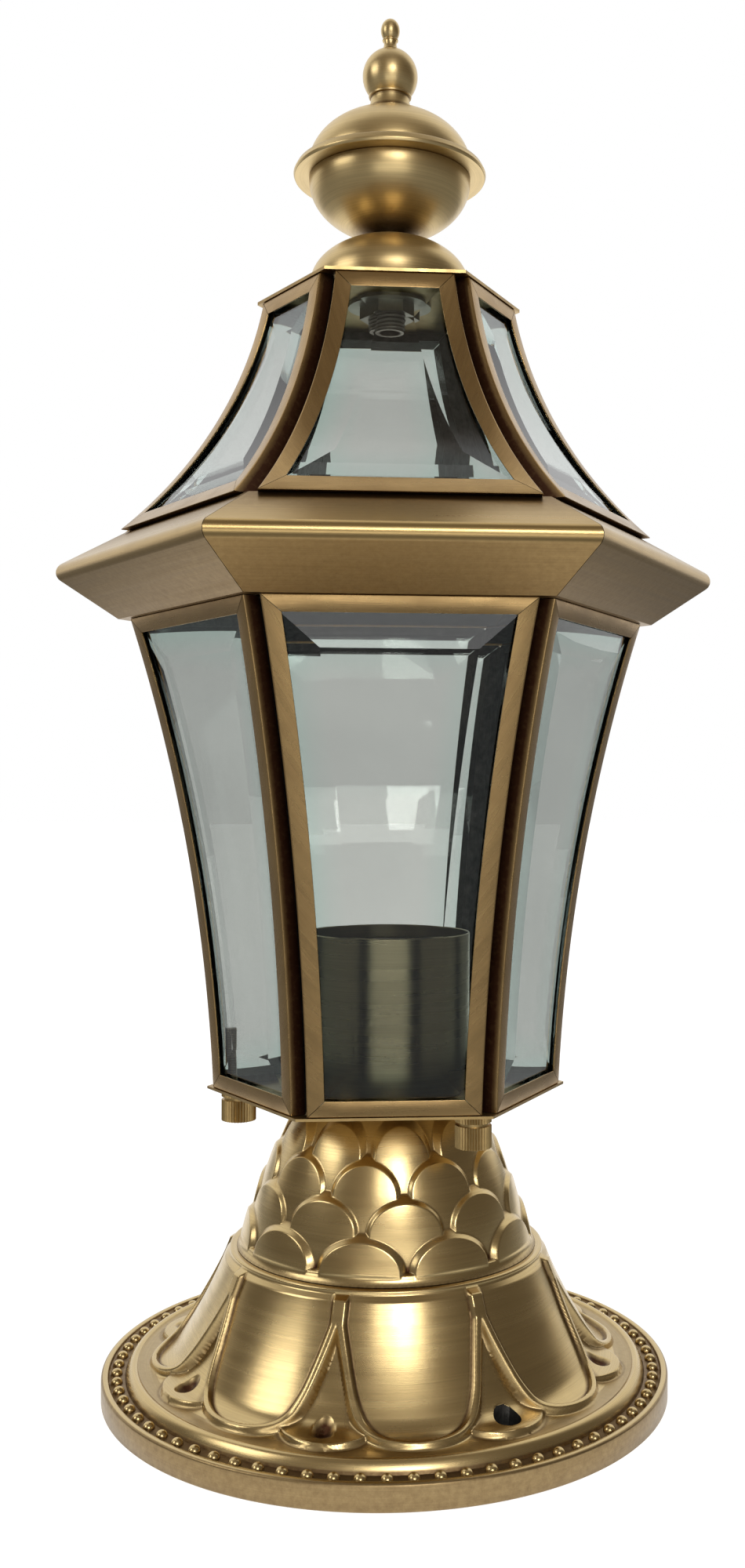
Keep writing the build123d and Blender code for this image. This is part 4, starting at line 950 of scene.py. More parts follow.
def dome_relief(height, angle, settings):
    """How far the scales stand out from the plain dome."""
    pitch = math.tau / SCALES
    half_height, fill, crown_rise = 13.0 * MM, 0.985, 0.2 * MM
    lowest_root, root, skirt, tiny = 2.3 * MM, 0.2 * MM, 0.8 * MM, 1e-9
    band_top, band_lift, band_fade = 60.3 * MM, 2.4 * MM, 1.2 * MM
    lift = band_lift * smooth_step(-height, -band_top - band_fade, -band_top)
    for row, tip in enumerate(SCALE_TIPS):
        middle = tip - half_height
        off = np.mod(angle - SCALE_ANGLE - row * pitch / 2 + pitch / 2, pitch) - pitch / 2
        radius = dome_radius(middle)
        half_width = fill * radius * pitch / 2
        across = radius * off / half_width
        up = np.maximum(height - middle, 0) / half_height
        reach = np.sqrt(across**2 + up**2) + tiny
        slope = np.sqrt((across / half_width) ** 2 + (up / half_height) ** 2) / reach + tiny
        inside = (1 - reach) / slope
        share = np.clip((tip - height) / (2 * half_height), 0, 1)
        root_lift = lowest_root if row == 0 else root
        face = settings.tip_lift + (root_lift - settings.tip_lift) * share
        crown = crown_rise * (1 - np.clip(across, -1, 1) ** 2) * (1 - up)
        fall = settings.bevel_drop * np.clip(1 - inside / settings.bevel_width, 0, 1.6)
        scale = np.where((inside > -skirt) & (share < 0.99), face + crown - fall, 0)
        lift = np.maximum(lift, scale)
    return lift


def dome_shell(settings):
    """The scaled dome with its band and hollow."""
    wall, band_r, hole, edge_nick = 2.2 * MM, 58.4 * MM, 5.3 * MM, 0.3 * MM
    skirt, skirt_flare, skirt_rise, top_fade = LIP_TOP + 0.1 * MM, 1.5 * MM, 3.4 * MM, 2.0 * MM
    sunk = np.linspace(DOME_BOTTOM + edge_nick, LIP_TOP, 8)
    heights = np.concatenate([sunk, np.linspace(skirt, DOME_TOP, 200)])
    columns_per_scale = 80
    angles, around = circle(SCALES * columns_per_scale)
    base = np.array([dome_radius(height) for height in heights])
    relief = dome_relief(heights[:, None] * np.ones(len(angles)), angles[None], settings)
    fade = smooth_step(DOME_TOP - heights, 0, top_fade)[:, None]
    r = np.minimum(base[:, None] + relief * fade, band_r)
    flare = np.clip(1 - (heights - skirt) / skirt_rise, 0, 1) ** 2 * (heights >= skirt)
    r = r + skirt_flare * flare[:, None]
    z = np.broadcast_to(heights[:, None], r.shape)
    outside = np.stack([r * np.cos(angles), r * np.sin(angles), z], -1)
    # Patina between the scales and in streaks above the foot's lip; towards the top, patina with a painted
    # shadow of the bottom plate
    lip_dark, lip_reach, top_dark, top_reach = 0.6, 1.6 * MM, 0.6, 20.0 * MM
    tarnish_and_shade = hollowness(relief, 4, 4, 1.1 * MM) ** 1.5
    streak = 0.55 + 0.45 * np.sin(angles * 173) * np.sin(angles * 61 + 1.0)
    by_lip = lip_dark * smooth_step(-heights, -skirt - lip_reach, -skirt)[:, None]
    plate_shadow_and_patina = top_dark * smooth_step(heights, DOME_TOP - top_reach, DOME_TOP)[:, None]
    tarnish_and_shade = np.maximum(np.maximum(tarnish_and_shade, by_lip * (0.45 + 0.55 * streak)), plate_shadow_and_patina)
    inside = [(hole, DOME_TOP), (hole, DOME_TOP - wall)]
    inside += [(DOME_LINE.at(z, wall), z) for z in np.linspace(DOME_TOP - wall, DOME_LINE_BOTTOM, 16)]
    inside += [(band_r - wall, DOME_BOTTOM), (band_r - edge_nick, DOME_BOTTOM)]
    back = turned_points(inside, around)
    back_tarnish = np.full(back.shape[:2], 0.6)
    grain = turned_grain(base, run_lengths(np.stack([base, heights], -1)), around)
    points, places = np.concatenate([outside, back]), np.concatenate([grain, back])
    shell = Shell()
    shell.grid(points, places, np.concatenate([tarnish_and_shade, back_tarnish]), wrap=True, loop=True)
    return shell


class PILLARLIGHT_OT_dome(bpy.types.Operator):
    """Bell with rows of overlapping scales between foot and lantern"""

    bl_idname = "pillar_light.dome"
    bl_label = "Scaled dome"

    def execute(self, context):
        shell = dome_shell(context.scene.pillar_light.dome)
        materials, slot = finish_named("Cast brass"), "antique_brass_cast"
        make_piece("dome_casting", shell, "base", slot, materials, ("scale_dome",), 60.0)
        return {"FINISHED"}


# Glazed sides


class Wall:
    """Bowed side of the lantern out along +X, between two heights."""

    def __init__(self, bottom, top, low_flats, high_flats, bow):
        self.bottom, self.top = bottom, top
        self.line = Bow((low_flats / 2, bottom), (high_flats / 2, top), bow)

    def half_width(self, height):
        """Half the width of a frame at a height."""
        return self.line.at(height, CHANNEL_DEPTH) * SIDE_TAN - SEAM

    def place(self, height, depth, across):
        """Point at a height, a depth under the face and a distance from the middle line."""
        return (self.line.at(height, depth), across, height)


WALLS = {
    "side": Wall(BODY_BOTTOM, BODY_TOP, low_flats=124.0 * MM, high_flats=181.5 * MM, bow=-5.4 * MM),
    "roof": Wall(ROOF_BOTTOM, ROOF_TOP, low_flats=189.4 * MM, high_flats=91.0 * MM, bow=-8.5 * MM),
}


def channel_section(width):
    """Outline of a channel strip as (depth, distance from the panel's edge), and the finish of each side."""
    soft, thin, back, leaf = 0.55 * MM, 0.2 * MM, CHANNEL_DEPTH, 0.6 * width
    shade_depths = (1.3 * MM, 2.6 * MM)
    corners = [(0, width), (0, 0), *[(depth, 0) for depth in shade_depths], (back, 0), (back, leaf)]
    corners += [(back - SHEET, leaf), (back - SHEET, SHEET), (SHEET, SHEET), (SHEET, width)]
    radii = [thin, soft, 0, 0, soft, thin, thin, 0, 0, thin]
    outline = rounded(corners, radii, 3)
    finishes = []
    for index, first in enumerate(outline):
        second = outline[(index + 1) % len(outline)]
        depth, edge = (first[0] + second[0]) / 2, (first[1] + second[1]) / 2
        inner = depth > back - 1.2 * SHEET or (edge > 0.5 * SHEET and depth > 0.8 * SHEET)
        finishes.append(int(inner))
    return outline, finishes


def add_strip(shell, section, finishes, place, steps, length, hatch):
    """Adds one strip; place gives the point at a share of the length and a corner of the section."""
    clean_depth, dark_depth = 0.3 * MM, 2.4 * MM
    shares = np.linspace(0, 1, steps + 1)
    points = np.array([[place(share, depth, edge) for share in shares] for depth, edge in section])
    depths, edges = np.array(section).T[..., None]
    along, across = shares * length, edges - depths
    grain = np.stack(np.broadcast_arrays(along - hatch * across, 0.0, across + hatch * along), -1)
    # Darker with depth down the strip's sides: patina with painted shade in the groove between neighbouring
    # frames
    tarnish_and_shade = smooth_step(depths, clean_depth, dark_depth)
    ids = shell.grid(points, grain, tarnish_and_shade, finishes, loop=True)
    shell.face(ids[:-1, 0])
    shell.face(ids[-2::-1, -1])


def frame_shell(wall):
    """Four mitred channel strips round one pane."""
    shell = Shell()
    height = wall.top - wall.bottom
    gap = 0.14 * MM
    section, finishes = channel_section(CHANNEL_FACE)
    for side in (1, -1):

        def stile(share, depth, edge):
            inset = edge * CHANNEL_RAIL / CHANNEL_FACE + gap
            z = wall.bottom + inset + share * (height - 2 * inset)
            return wall.place(z, depth, side * (wall.half_width(z) - edge))

        add_strip(shell, section, finishes, stile, 36, height, 0.6)
    section, finishes = channel_section(CHANNEL_RAIL)
    for start, way in ((wall.bottom, 1), (wall.top, -1)):

        def rail(share, depth, edge):
            z = start + way * edge
            reach = wall.half_width(z) - edge * CHANNEL_FACE / CHANNEL_RAIL - gap
            return wall.place(z, depth, (2 * share - 1) * reach)

        add_strip(shell, section, finishes, rail, 6, 2 * wall.half_width(start), 0.0)
    return shell


def pane_shell(wall, settings):
    """Bent pane with its front edges ground to a bevel."""
    low, high = wall.bottom + GLASS_FRONT, wall.top - GLASS_FRONT
    bevel, rows = settings.bevel_width, 25
    ground = np.linspace(0, 1, 4)[:-1]
    inner = np.linspace(low + bevel, high - bevel, rows)
    heights = np.concatenate([low + ground * bevel, inner, high - ground[::-1] * bevel])
    shares = np.concatenate([ground, np.ones(rows), ground[::-1]])
    ring, mask = [], []
    for height, share in zip(heights, shares):
        edge = wall.half_width(height) - GLASS_FRONT
        half = [edge, edge - share * bevel, (edge - bevel) / 2]
        row = [-place for place in half] + half[::-1]
        drop = [1.0] + [1.0 - share] * 4 + [1.0]
        depths = [GLASS_FRONT + fall * settings.bevel_depth for fall in drop]
        front = [wall.place(height, depth, y) for y, depth in zip(row, depths)]
        back = [wall.place(height, GLASS_FRONT + GLASS_THICKNESS, y) for y in row]
        ring.append(front + back[::-1])
        mask.append(drop + [0.0] * len(row))
    shell = Shell()
    ids = shell.grid(np.array(ring), np.array(ring), np.array(mask), wrap=True)
    for end in (ids[0, :-1], ids[-1, :-1]):
        for column in range(len(end) // 2 - 1):
            shell.face(end[[column, column + 1, -2 - column, -1 - column]])
    return shell


def solder_shell(wall, seed):
    """Lumpy solder along an inner corner between two frames, out along +X."""
    end_gap, sunk, size, unevenness, smallest = 0.8 * MM, 0.15 * MM, 1.2 * MM, 0.3 * MM, 0.7 * MM
    count, spread, spare = 70, 5, 4
    heights = np.linspace(wall.bottom + end_gap, wall.top - end_gap, count)
    noise = np.random.default_rng(seed).normal(0, 1, count + 2 * spare)
    lumps = np.convolve(noise, np.ones(spread) / spread, mode="same")[spare:-spare]
    rows = []
    for height, lump in zip(heights, lumps):
        corner = wall.line.at(height, CHANNEL_DEPTH) / math.cos(math.pi / SIDES) - sunk
        leg = max(size + unevenness * lump, smallest)
        back, side = corner - leg * math.sin(math.pi / SIDES), leg * math.cos(math.pi / SIDES)
        inward, half = corner - 0.75 * leg, 0.35 * leg
        outline = [(corner, 0), (back, side), (inward, half), (inward, -half), (back, -side)]
        rows.append([(x, y, height) for x, y in outline])
    points = np.array(rows)
    shell = Shell()
    ids = shell.grid(points, points, 0.0, wrap=True)
    shell.face(ids[0, :-1])
    shell.face(ids[-1, -2::-1])
    return shell


class PILLARLIGHT_OT_frames(bpy.types.Operator):
    """Mitred channel frames of the sides and the roof, with solder in their inner corners"""

    bl_idname = "pillar_light.frames"
    bl_label = "Channel frames"

    def execute(self, context):
        materials, slot = finish_named("Channel bronze", "Inside black"), "bronze_channel"
        for name, wall in WALLS.items():
            for index in range(SIDES):
                number = index + 1
                shell = frame_shell(wall).turn(side_angle(index))
                node = f"{name}_frame_{number}"
                make_piece(f"{name}_channels_{number}", shell, "cage", slot, materials, (node,))
                seam = solder_shell(wall, index).turn(side_angle(index) + math.pi / SIDES)
                make_piece(f"{name}_solder_{number}", seam, "cage", slot, materials[1:], crease=70.0)
        return {"FINISHED"}


class PILLARLIGHT_OT_panes(bpy.types.Operator):
    """Bent panes with wide ground bevels"""

    bl_idname = "pillar_light.panes"
    bl_label = "Bevelled panes"

    def execute(self, context):
        settings = context.scene.pillar_light.glass
        materials = finish_named("Bevelled glass")
        for name, wall in WALLS.items():
            for index in range(SIDES):
                shell = pane_shell(wall, settings).turn(side_angle(index))
                node = f"{name}_pane_{index + 1}"
                piece_name = f"{name}_glass_{index + 1}"
                make_piece(piece_name, shell, "cage", "clear_glass", materials, (node,), 2.5)
        return {"FINISHED"}


# Eave


def eave_shell():
    """One folded sheet out along +X, mitred at both ends."""
    sheet, bead_r, flange = 1.0 * MM, 4.2 * MM, 8.0 * MM
    flats, bead_height = 229.4 * MM, 18.2 * MM
    bead = (flats / 2 - bead_r, EAVE_BOTTOM + bead_height)
    upper, lower = (90.7 * MM, EAVE_TOP), (93.45 * MM, EAVE_BOTTOM)

    def fold(inset):
        high, low = (upper[0], upper[1] - inset), (lower[0], lower[1] + inset)
        top_angle = touch_angle(high, bead, bead_r - inset, -1)
        low_angle = touch_angle(low, bead, bead_r - inset, 1)
        nose = arc_points(bead, bead_r - inset, top_angle, low_angle, 16)
        return [(high[0] - flange, high[1]), high, *nose, low, (low[0] - flange, low[1])]

    outside, inside = fold(0.0), fold(sheet)
    outline, count = outside + inside[::-1], len(outside)
    shares = np.linspace(-1, 1, 9)
    reach = [r * SIDE_TAN - SEAM / math.cos(math.pi / SIDES) for r, _ in outline]
    points = np.array([[(r, share * side, z) for share in shares] for (r, z), side in zip(outline, reach)])
    grain = np.stack(np.broadcast_arrays(points[..., 1], 0.0, run_lengths(outline)[:, None]), -1)
    # Painted shadow under the roof, painted shade on the lower slope growing from the bead to the lower edge,
    # and dark inside
    roof_painted_shadow, slope_painted_shade, fold_painted_shade, inner_dark, slope_rows = 0.6, 0.42, 0.5, 0.9, 10
    tarnish_and_shade = np.zeros((len(outline), 1))
    tarnish_and_shade[:2] = roof_painted_shadow
    tarnish_and_shade[count - 2 - slope_rows:count - 2, 0] = np.linspace(0.0, slope_painted_shade, slope_rows)
    tarnish_and_shade[count - 2:count] = fold_painted_shade
    tarnish_and_shade[count:] = inner_dark
    finishes = [0] * count + [1] * (count - 1) + [0]
    shell = Shell()
    ids = shell.grid(points, grain, tarnish_and_shade, finishes, loop=True)
    for column in (0, -1):
        rim = ids[:-1, column]
        for row in range(count - 1):
            shell.face(rim[[row, row + 1, -2 - row, -1 - row]])
    return shell


class PILLARLIGHT_OT_eave(bpy.types.Operator):
    """Folded eave sheets with a rolled bead, mitred at the corners"""

    bl_idname = "pillar_light.eave"
    bl_label = "Eave"

    def execute(self, context):
        materials, slot = finish_named("Sheet brass", "Inside black"), "antique_brass_sheet"
        for index in range(SIDES):
            shell = eave_shell().turn(side_angle(index))
            node = f"eave_segment_{index + 1}"
            make_piece(f"eave_sheet_{index + 1}", shell, "cage", slot, materials, (node,), 25.0)
        return {"FINISHED"}


# Urn, finial and cup


def hole_angle(width):
    """Angle in degrees at which an oval of a width reaches the hole of a spun piece."""
    return math.degrees(math.acos(SPUN_HOLE_R / width))


def collar_profile():
    """Spun collar under the bowl."""
    shoulder, width, rise = COLLAR_BOTTOM + 7.8 * MM, 32.1 * MM, 19.1 * MM
    inner_width = width - SPUN_WALL
    flange = beside((width, COLLAR_BOTTOM), (-1.0, 0), (1.8, 0), (1.8, 0.8), (1.3, 1.2), (0.4, 1.2), (0, 1.7))
    outside = oval_points(shoulder, width, rise, 0, hole_angle(width), 28)
    inside = oval_points(shoulder, inner_width, rise - SPUN_WALL, hole_angle(inner_width), 0, 16)
    return flange + outside + inside


def bowl_profile():
    """Spun bowl."""
    width, depth = 32.5 * MM, 22.1 * MM
    inner_width, brim = width - SPUN_WALL, BOWL_BOTTOM + depth
    outside = oval_points(brim, width, depth, -hole_angle(width), 0, 28)
    edge = beside((width, BOWL_TOP), (0, -0.2), (-0.2, 0), (-1.0, 0))
    inside = oval_points(brim, inner_width, depth - SPUN_WALL, 0, -hole_angle(inner_width), 16)
    return outside + edge + inside


def lid_profile():
    """Spun lid with a broad rim."""
    width, rise, land, rim, taper = 33.0 * MM, 23.1 * MM, 10.2 * MM, 38.9 * MM, 1.4 * MM
    corners = [(width - SPUN_WALL, LID_BOTTOM), (rim - 0.5 * MM, LID_BOTTOM), (rim, LID_BOTTOM + 1.2 * MM)]
    corners += [(rim - taper, LID_SHOULDER), (width, LID_SHOULDER)]
    corners += [(width - 4 * SPUN_WALL, LID_SHOULDER + 2 * SPUN_WALL)]
    brim = rounded(corners, [0, 0.4 * MM, 0.9 * MM, 1.2 * MM, 0.7 * MM, 0], 4)[:-1]
    end = math.degrees(math.acos(land / width))
    dome = oval_points(LID_SHOULDER, width, rise, 0, end, 28)[2:]
    top = dome[-1][1]
    inner_end = math.degrees(math.asin((top - SPUN_WALL - LID_SHOULDER) / (rise - SPUN_WALL)))
    inside = oval_points(LID_SHOULDER, width - SPUN_WALL, rise - SPUN_WALL, inner_end, 0, 14)
    return brim + dome + [(SPUN_HOLE_R, top), (SPUN_HOLE_R, top - SPUN_WALL)] + inside


def ball_profile():
    """Finial's ball with its neck and base ring."""
    base_r, neck_r, ball_r, seat, bore_r, pin_r = 9.4 * MM, 7.8 * MM, 11.1 * MM, 2.6 * MM, 6.4 * MM, 1.7 * MM
    bottom, neck = BALL_BOTTOM, BALL_BOTTOM + 7.6 * MM
    middle = neck + math.sqrt(ball_r**2 - neck_r**2)
    base = [(bore_r, bottom)] + beside((base_r, bottom), (-0.3, 0), (0, 0.3), (0, 1.2), (-0.4, 1.6))
    neck_end, base_end = (neck_r, neck - 0.9 * MM), (base_r - 0.5 * MM, bottom + 1.7 * MM)
    flare, _ = tangent_arc(neck_end, base_end, -math.pi / 2, 10)
    ring = beside((neck_r, neck), (0.1, -0.9), (0.75, -0.6), (0.85, -0.1), (0.45, 0.25))
    start = math.asin((neck + 0.3 * MM - middle) / ball_r)
    ball = arc_points((0, middle), ball_r, start, math.acos(seat / ball_r), 30)
    bore = [(pin_r, ball[-1][1]), (pin_r, bottom + 12 * MM), (bore_r, bottom + 7 * MM)]
    return base + flare[::-1] + ring + ball + bore


def tip_profile():
    """Small knob on the ball."""
    stem_r, knob_r, rise = 2.6 * MM, 3.8 * MM, 4.7 * MM
    start = math.degrees(math.acos(stem_r / knob_r))
    knob = oval_points(TIP_TOP - rise, knob_r, rise, -start, 90, 24)
    low = knob[0][1]
    pin = beside((0, low), (0, -8.3), (1.6, -8.3), (1.6, -4.4))
    stem = beside((stem_r, low), (0.7, -4.4), (0.15, -3.4), (-0.1, -2.2), (0.1, -1.0))
    ring = beside((stem_r, low), (0.5, -0.85), (0.6, -0.5), (0.4, -0.1))
    return pin + stem + ring + knob


def cup_profile():
    """Open cup round the lampholder."""
    wall, hole, lip = 0.8 * MM, 5.3 * MM, 0.3 * MM
    inner = CUP_R - wall
    return [
        (hole, CUP_BOTTOM), (CUP_R - lip, CUP_BOTTOM), (CUP_R, CUP_BOTTOM + lip),
        *[(CUP_R, z) for z in np.linspace(CUP_BOTTOM + 2 * lip, CUP_TOP - 2 * lip, 8)],
        (CUP_R, CUP_TOP - lip), (CUP_R - lip, CUP_TOP), (inner + lip, CUP_TOP), (inner, CUP_TOP - lip),
        (inner, CUP_BOTTOM + 2 * wall), (inner - wall, CUP_BOTTOM + wall), (hole, CUP_BOTTOM + wall),
    ]


def edge_tarnish(profile, base, marks):
    """Patina along a profile: a base value, and darker near given heights."""
    values = np.full(len(profile), base)
    for height, reach, amount in marks:
        far = np.abs(np.array([z for _, z in profile]) - height)
        values = np.maximum(values, amount * smooth_step(-far, -reach, 0))
    return values


class PILLARLIGHT_OT_urn(bpy.types.Operator):
    """Spun collar, bowl and lid, the turned finial on them, and the lamp's cup"""

    bl_idname = "pillar_light.urn"
    bl_label = "Urn, finial and cup"

    def execute(self, context):
        fine, medium, coarse, shade = 112, 72, 48, 0.04
        # Piece, node, profile, body, slot, finish, steps round, and dark marks as (height, reach, amount)
        rows = (
            ("collar_spinning", "collar_dome", collar_profile(), "cage", "antique_brass_sheet", "Spun brass",
             fine, [(COLLAR_BOTTOM + 1.4 * MM, 1.6 * MM, 0.7), (COLLAR_TOP, 5.0 * MM, 0.8)]),
            ("bowl_spinning", "urn_bowl", bowl_profile(), "cage", "antique_brass_sheet", "Spun brass",
             fine, [(BOWL_BOTTOM, 4.5 * MM, 0.75), (BOWL_TOP, 4.0 * MM, 0.5)]),
            ("lid_spinning", "urn_lid", lid_profile(), "cage", "antique_brass_sheet", "Spun brass",
             fine, [(LID_SHOULDER + 0.4 * MM, 2.2 * MM, 0.5), (LID_TOP, 2.5 * MM, 0.5)]),
            ("ball_turning", "finial_ball", ball_profile(), "finial", "antique_brass_turned", "Spun brass",
             medium, [(BALL_BOTTOM + 1.8 * MM, 1.6 * MM, 0.7), (BALL_BOTTOM + 6.5 * MM, 0.8 * MM, 0.7)]),
            ("tip_turning", "finial_tip", tip_profile(), "finial", "antique_brass_turned", "Spun brass",
             coarse, []),
            ("cup_spinning", "lamp_cup", cup_profile(), "base", "antique_brass_sheet", "Cup brass",
             fine, [(CUP_BOTTOM, 2.0 * MM, 0.8)]),
        )
        for name, node, profile, body, slot, finish, steps, marks in rows:
            shell = Shell()
            tarnish_and_shade = edge_tarnish(profile, shade, marks)
            shell.lathe(profile, steps, tarnish_and_shade, closed=node != "finial_tip")
            make_piece(name, shell, body, slot, finish_named(finish), (node,), 40.0)
        return {"FINISHED"}


# Threads and small pieces


def thread_points(radius, bottom, top, pitch, depth, steps, middle=(0.0, 0.0)):
    """Grid of points on a screw thread, and the patina in its groove."""
    rows_per_turn = 6
    rows = max(2, int(round((top - bottom) / pitch * rows_per_turn)))
    heights = np.linspace(bottom, top, rows + 1)
    angles, _ = circle(steps)
    phase = np.mod(heights[:, None] / pitch - angles[None] / math.tau, 1.0)
    groove = 1 - np.abs(2 * phase - 1)
    fade = smooth_step(np.minimum(heights - bottom, top - heights), 0, pitch)[:, None]
    r = radius - depth * groove * fade - depth * (1 - fade)
    x, y = middle[0] + r * np.cos(angles), middle[1] + r * np.sin(angles)
    return np.stack([x, y, np.broadcast_to(heights[:, None], r.shape)], -1), 0.5 * groove


class PILLARLIGHT_OT_threads(bpy.types.Operator):
    """Threaded nipple under the roof and threaded studs in the lower corners"""

    bl_idname = "pillar_light.threads"
    bl_label = "Threaded pieces"

    def execute(self, context):
        steel = finish_named("Plated steel")
        thread_top, pitch, depth, steps = NIPPLE_BOTTOM + 21 * MM, 1.5 * MM, 0.6 * MM, 48
        points, shade = thread_points(NIPPLE_R, NIPPLE_BOTTOM, thread_top, pitch, depth, steps)
        bore = [(NIPPLE_R - depth, NIPPLE_TOP), (NIPPLE_BORE_R, NIPPLE_TOP), (NIPPLE_BORE_R, NIPPLE_BOTTOM)]
        tube = np.concatenate([points, turned_points(bore, circle(steps)[1])])
        shades = np.concatenate([shade, np.full((len(bore), steps), 0.6)])
        shell = Shell()
        shell.grid(tube, tube, shades, wrap=True, loop=True)
        make_piece("nipple_thread", shell, "cage", "plated_steel", steel, ("top_nipple",), 40.0)
        pitch, depth, steps = 0.7 * MM, 0.32 * MM, 20
        studs = Shell()
        for angle in np.radians(STUD_ANGLES):
            middle = (STUD_RING_R * math.cos(angle), STUD_RING_R * math.sin(angle))
            points, shade = thread_points(STUD_R, STUD_BOTTOM, STUD_TOP, pitch, depth, steps, middle)
            ids = studs.grid(points, points, shade, wrap=True)
            studs.face(ids[0, :-1])
            studs.face(ids[-1, -2::-1])
        make_piece("stud_threads", studs, "cage", "plated_steel", steel, ("corner_studs",), 40.0)
        return {"FINISHED"}


class PILLARLIGHT_OT_hardware(bpy.types.Operator):
    """Finishes of the plates, nuts, stem and lampholder, which keep their solids"""

    bl_idname = "pillar_light.hardware"
    bl_label = "Plates, nuts and lampholder"

    def execute(self, context):
        finishes = {
            "Turned brass": [
                "thumb_nut_1", "thumb_nut_2", "thumb_nut_3", "lampholder_shell", "lampholder_contact",
            ],
            "Flat brass": ["bottom_plate", "top_plate"],
            "Inside black": ["corner_gussets"],
            "Plain steel": [
                "stem_tube", "stem_nuts", "stem_washers", "clamp_strap", "earth_screw", "nipple_washer",
                "nipple_locknut",
            ],
            "Holder plastic": ["lampholder_cap", "lampholder_body"],
        }
        for name, nodes in finishes.items():
            for node in nodes:
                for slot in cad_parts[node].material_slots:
                    slot.material = bpy.data.materials[name]
        return {"FINISHED"}


# Stage


def seen_rays(tree):
    """Two masks: what the camera sees, also through glass, and that with all that metal mirrors."""
    way = add_node(tree, "ShaderNodeLightPath")
    unmirrored = math_node(tree, "LESS_THAN", way.outputs["Glossy Depth"], 0.5)
    through = math_node(tree, "MULTIPLY", way.outputs["Is Transmission Ray"], unmirrored)
    direct = math_node(tree, "MAXIMUM", way.outputs["Is Camera Ray"], through)
    mirrored = math_node(tree, "MAXIMUM", way.outputs["Is Glossy Ray"], way.outputs["Is Transmission Ray"])
    return direct, math_node(tree, "MAXIMUM", direct, mirrored)


def stage_material(settings):
    """White floor that keeps the shadow; metal mirrors it white behind the light and dim in front."""
    front_fade, wedge_slope, wedge_side, wedge_end = 0.15, 0.3, 0.22, 0.34
    near, far, near_level, dim_share = 0.2, 0.6, 0.9, 0.7
    material, tree, shader = new_material("White floor")
    tree.nodes.remove(shader)
    place = add_node(tree, "ShaderNodeTexCoord").outputs["Object"]
    across, along, _ = add_node(tree, "ShaderNodeSeparateXYZ", {0: place}).outputs
    front = -settings.white_front
    ahead = range_node(tree, along, front - front_fade, front, smooth=True)
    wedge = math_node(tree, "MULTIPLY", along, wedge_slope)
    aside = math_node(tree, "SUBTRACT", math_node(tree, "ABSOLUTE", across), wedge)
    in_wedge = range_node(tree, aside, wedge_side, wedge_end, 1.0, 0.0, smooth=True)
    direct, seen = seen_rays(tree)
    white = math_node(tree, "MAXIMUM", math_node(tree, "MULTIPLY", ahead, in_wedge), direct)
    reach = add_node(tree, "ShaderNodeVectorMath", {0: place}, operation="LENGTH").outputs["Value"]
    level = range_node(tree, reach, near, far, near_level, 1.0, smooth=True)
    lit = range_node(tree, white, 0.0, 1.0, settings.room * dim_share, 1.0)
    strength = math_node(tree, "MULTIPLY", level, lit)
    grey = range_node(tree, white, 0.0, 1.0, 0.1, 0.5)
    dull = add_node(tree, "ShaderNodeBsdfDiffuse", {"Color": grey}).outputs[0]
    glow = add_node(tree, "ShaderNodeEmission", {"Color": (1, 1, 1, 1), "Strength": strength}).outputs[0]
    both = add_node(tree, "ShaderNodeAddShader", {0: dull, 1: glow}).outputs[0]
    choice = add_node(tree, "ShaderNodeMixShader", {0: seen, 1: dull, 2: both})
    tree.links.new(choice.outputs[0], tree.nodes["Material Output"].inputs["Surface"])
    return material


def room_world(level):
    """White all round; metal mirrors white behind the light and a dim warm room in front of it."""
    high, high_share, side_start, side_end, side_share = 0.8, 0.8, 0.3, 0.9, 0.5
    lean, behind_start, behind_end, warm = 0.6, 0.45, 0.65, (1.0, 0.86, 0.71, 1)
    world = bpy.data.worlds.new("Room")
    bpy.context.scene.world = world
    world.use_nodes = True
    tree = world.node_tree
    tree.nodes.clear()
    output = tree.nodes.new("ShaderNodeOutputWorld")
    place = add_node(tree, "ShaderNodeTexCoord").outputs["Generated"]
    across, along, up = add_node(tree, "ShaderNodeSeparateXYZ", {0: place}).outputs
    overhead = range_node(tree, up, 0.0, high, level, level * high_share, smooth=True)
    aside = math_node(tree, "ABSOLUTE", across)
    sides = range_node(tree, aside, side_start, side_end, 1.0, side_share, smooth=True)
    front = math_node(tree, "MULTIPLY", overhead, sides)
    leaning = math_node(tree, "ADD", along, math_node(tree, "MULTIPLY", up, lean))
    direct, seen = seen_rays(tree)
    behind = range_node(tree, leaning, behind_start, behind_end, smooth=True)
    white = math_node(tree, "MAXIMUM", behind, direct)
    short = math_node(tree, "SUBTRACT", 1.0, front)
    strength = math_node(tree, "ADD", front, math_node(tree, "MULTIPLY", white, short))
    tone = mix_node(tree, white, warm, (1, 1, 1, 1))
    shown = add_node(tree, "ShaderNodeBackground", {"Color": tone, "Strength": strength})
    plain = add_node(tree, "ShaderNodeBackground", {"Color": (1, 1, 1, 1), "Strength": level})
    choice = add_node(tree, "ShaderNodeMixShader", {0: seen, 1: plain.outputs[0], 2: shown.outputs[0]})
    tree.links.new(choice.outputs[0], output.inputs["Surface"])


def soft_lamp(name, place, target, size, power):
    """Rectangular lamp that the camera doesn't see."""
    data = bpy.data.lights.new(name, "AREA")
    data.shape = "RECTANGLE"
    data.size, data.size_y = size
    data.energy = power
    lamp = bpy.data.objects.new(name, data)
    lamp.location = place
    lamp.rotation_euler = (Vector(target) - Vector(place)).to_track_quat("-Z", "Y").to_euler()
    lamp.visible_camera = False
    bpy.context.scene.collection.objects.link(lamp)


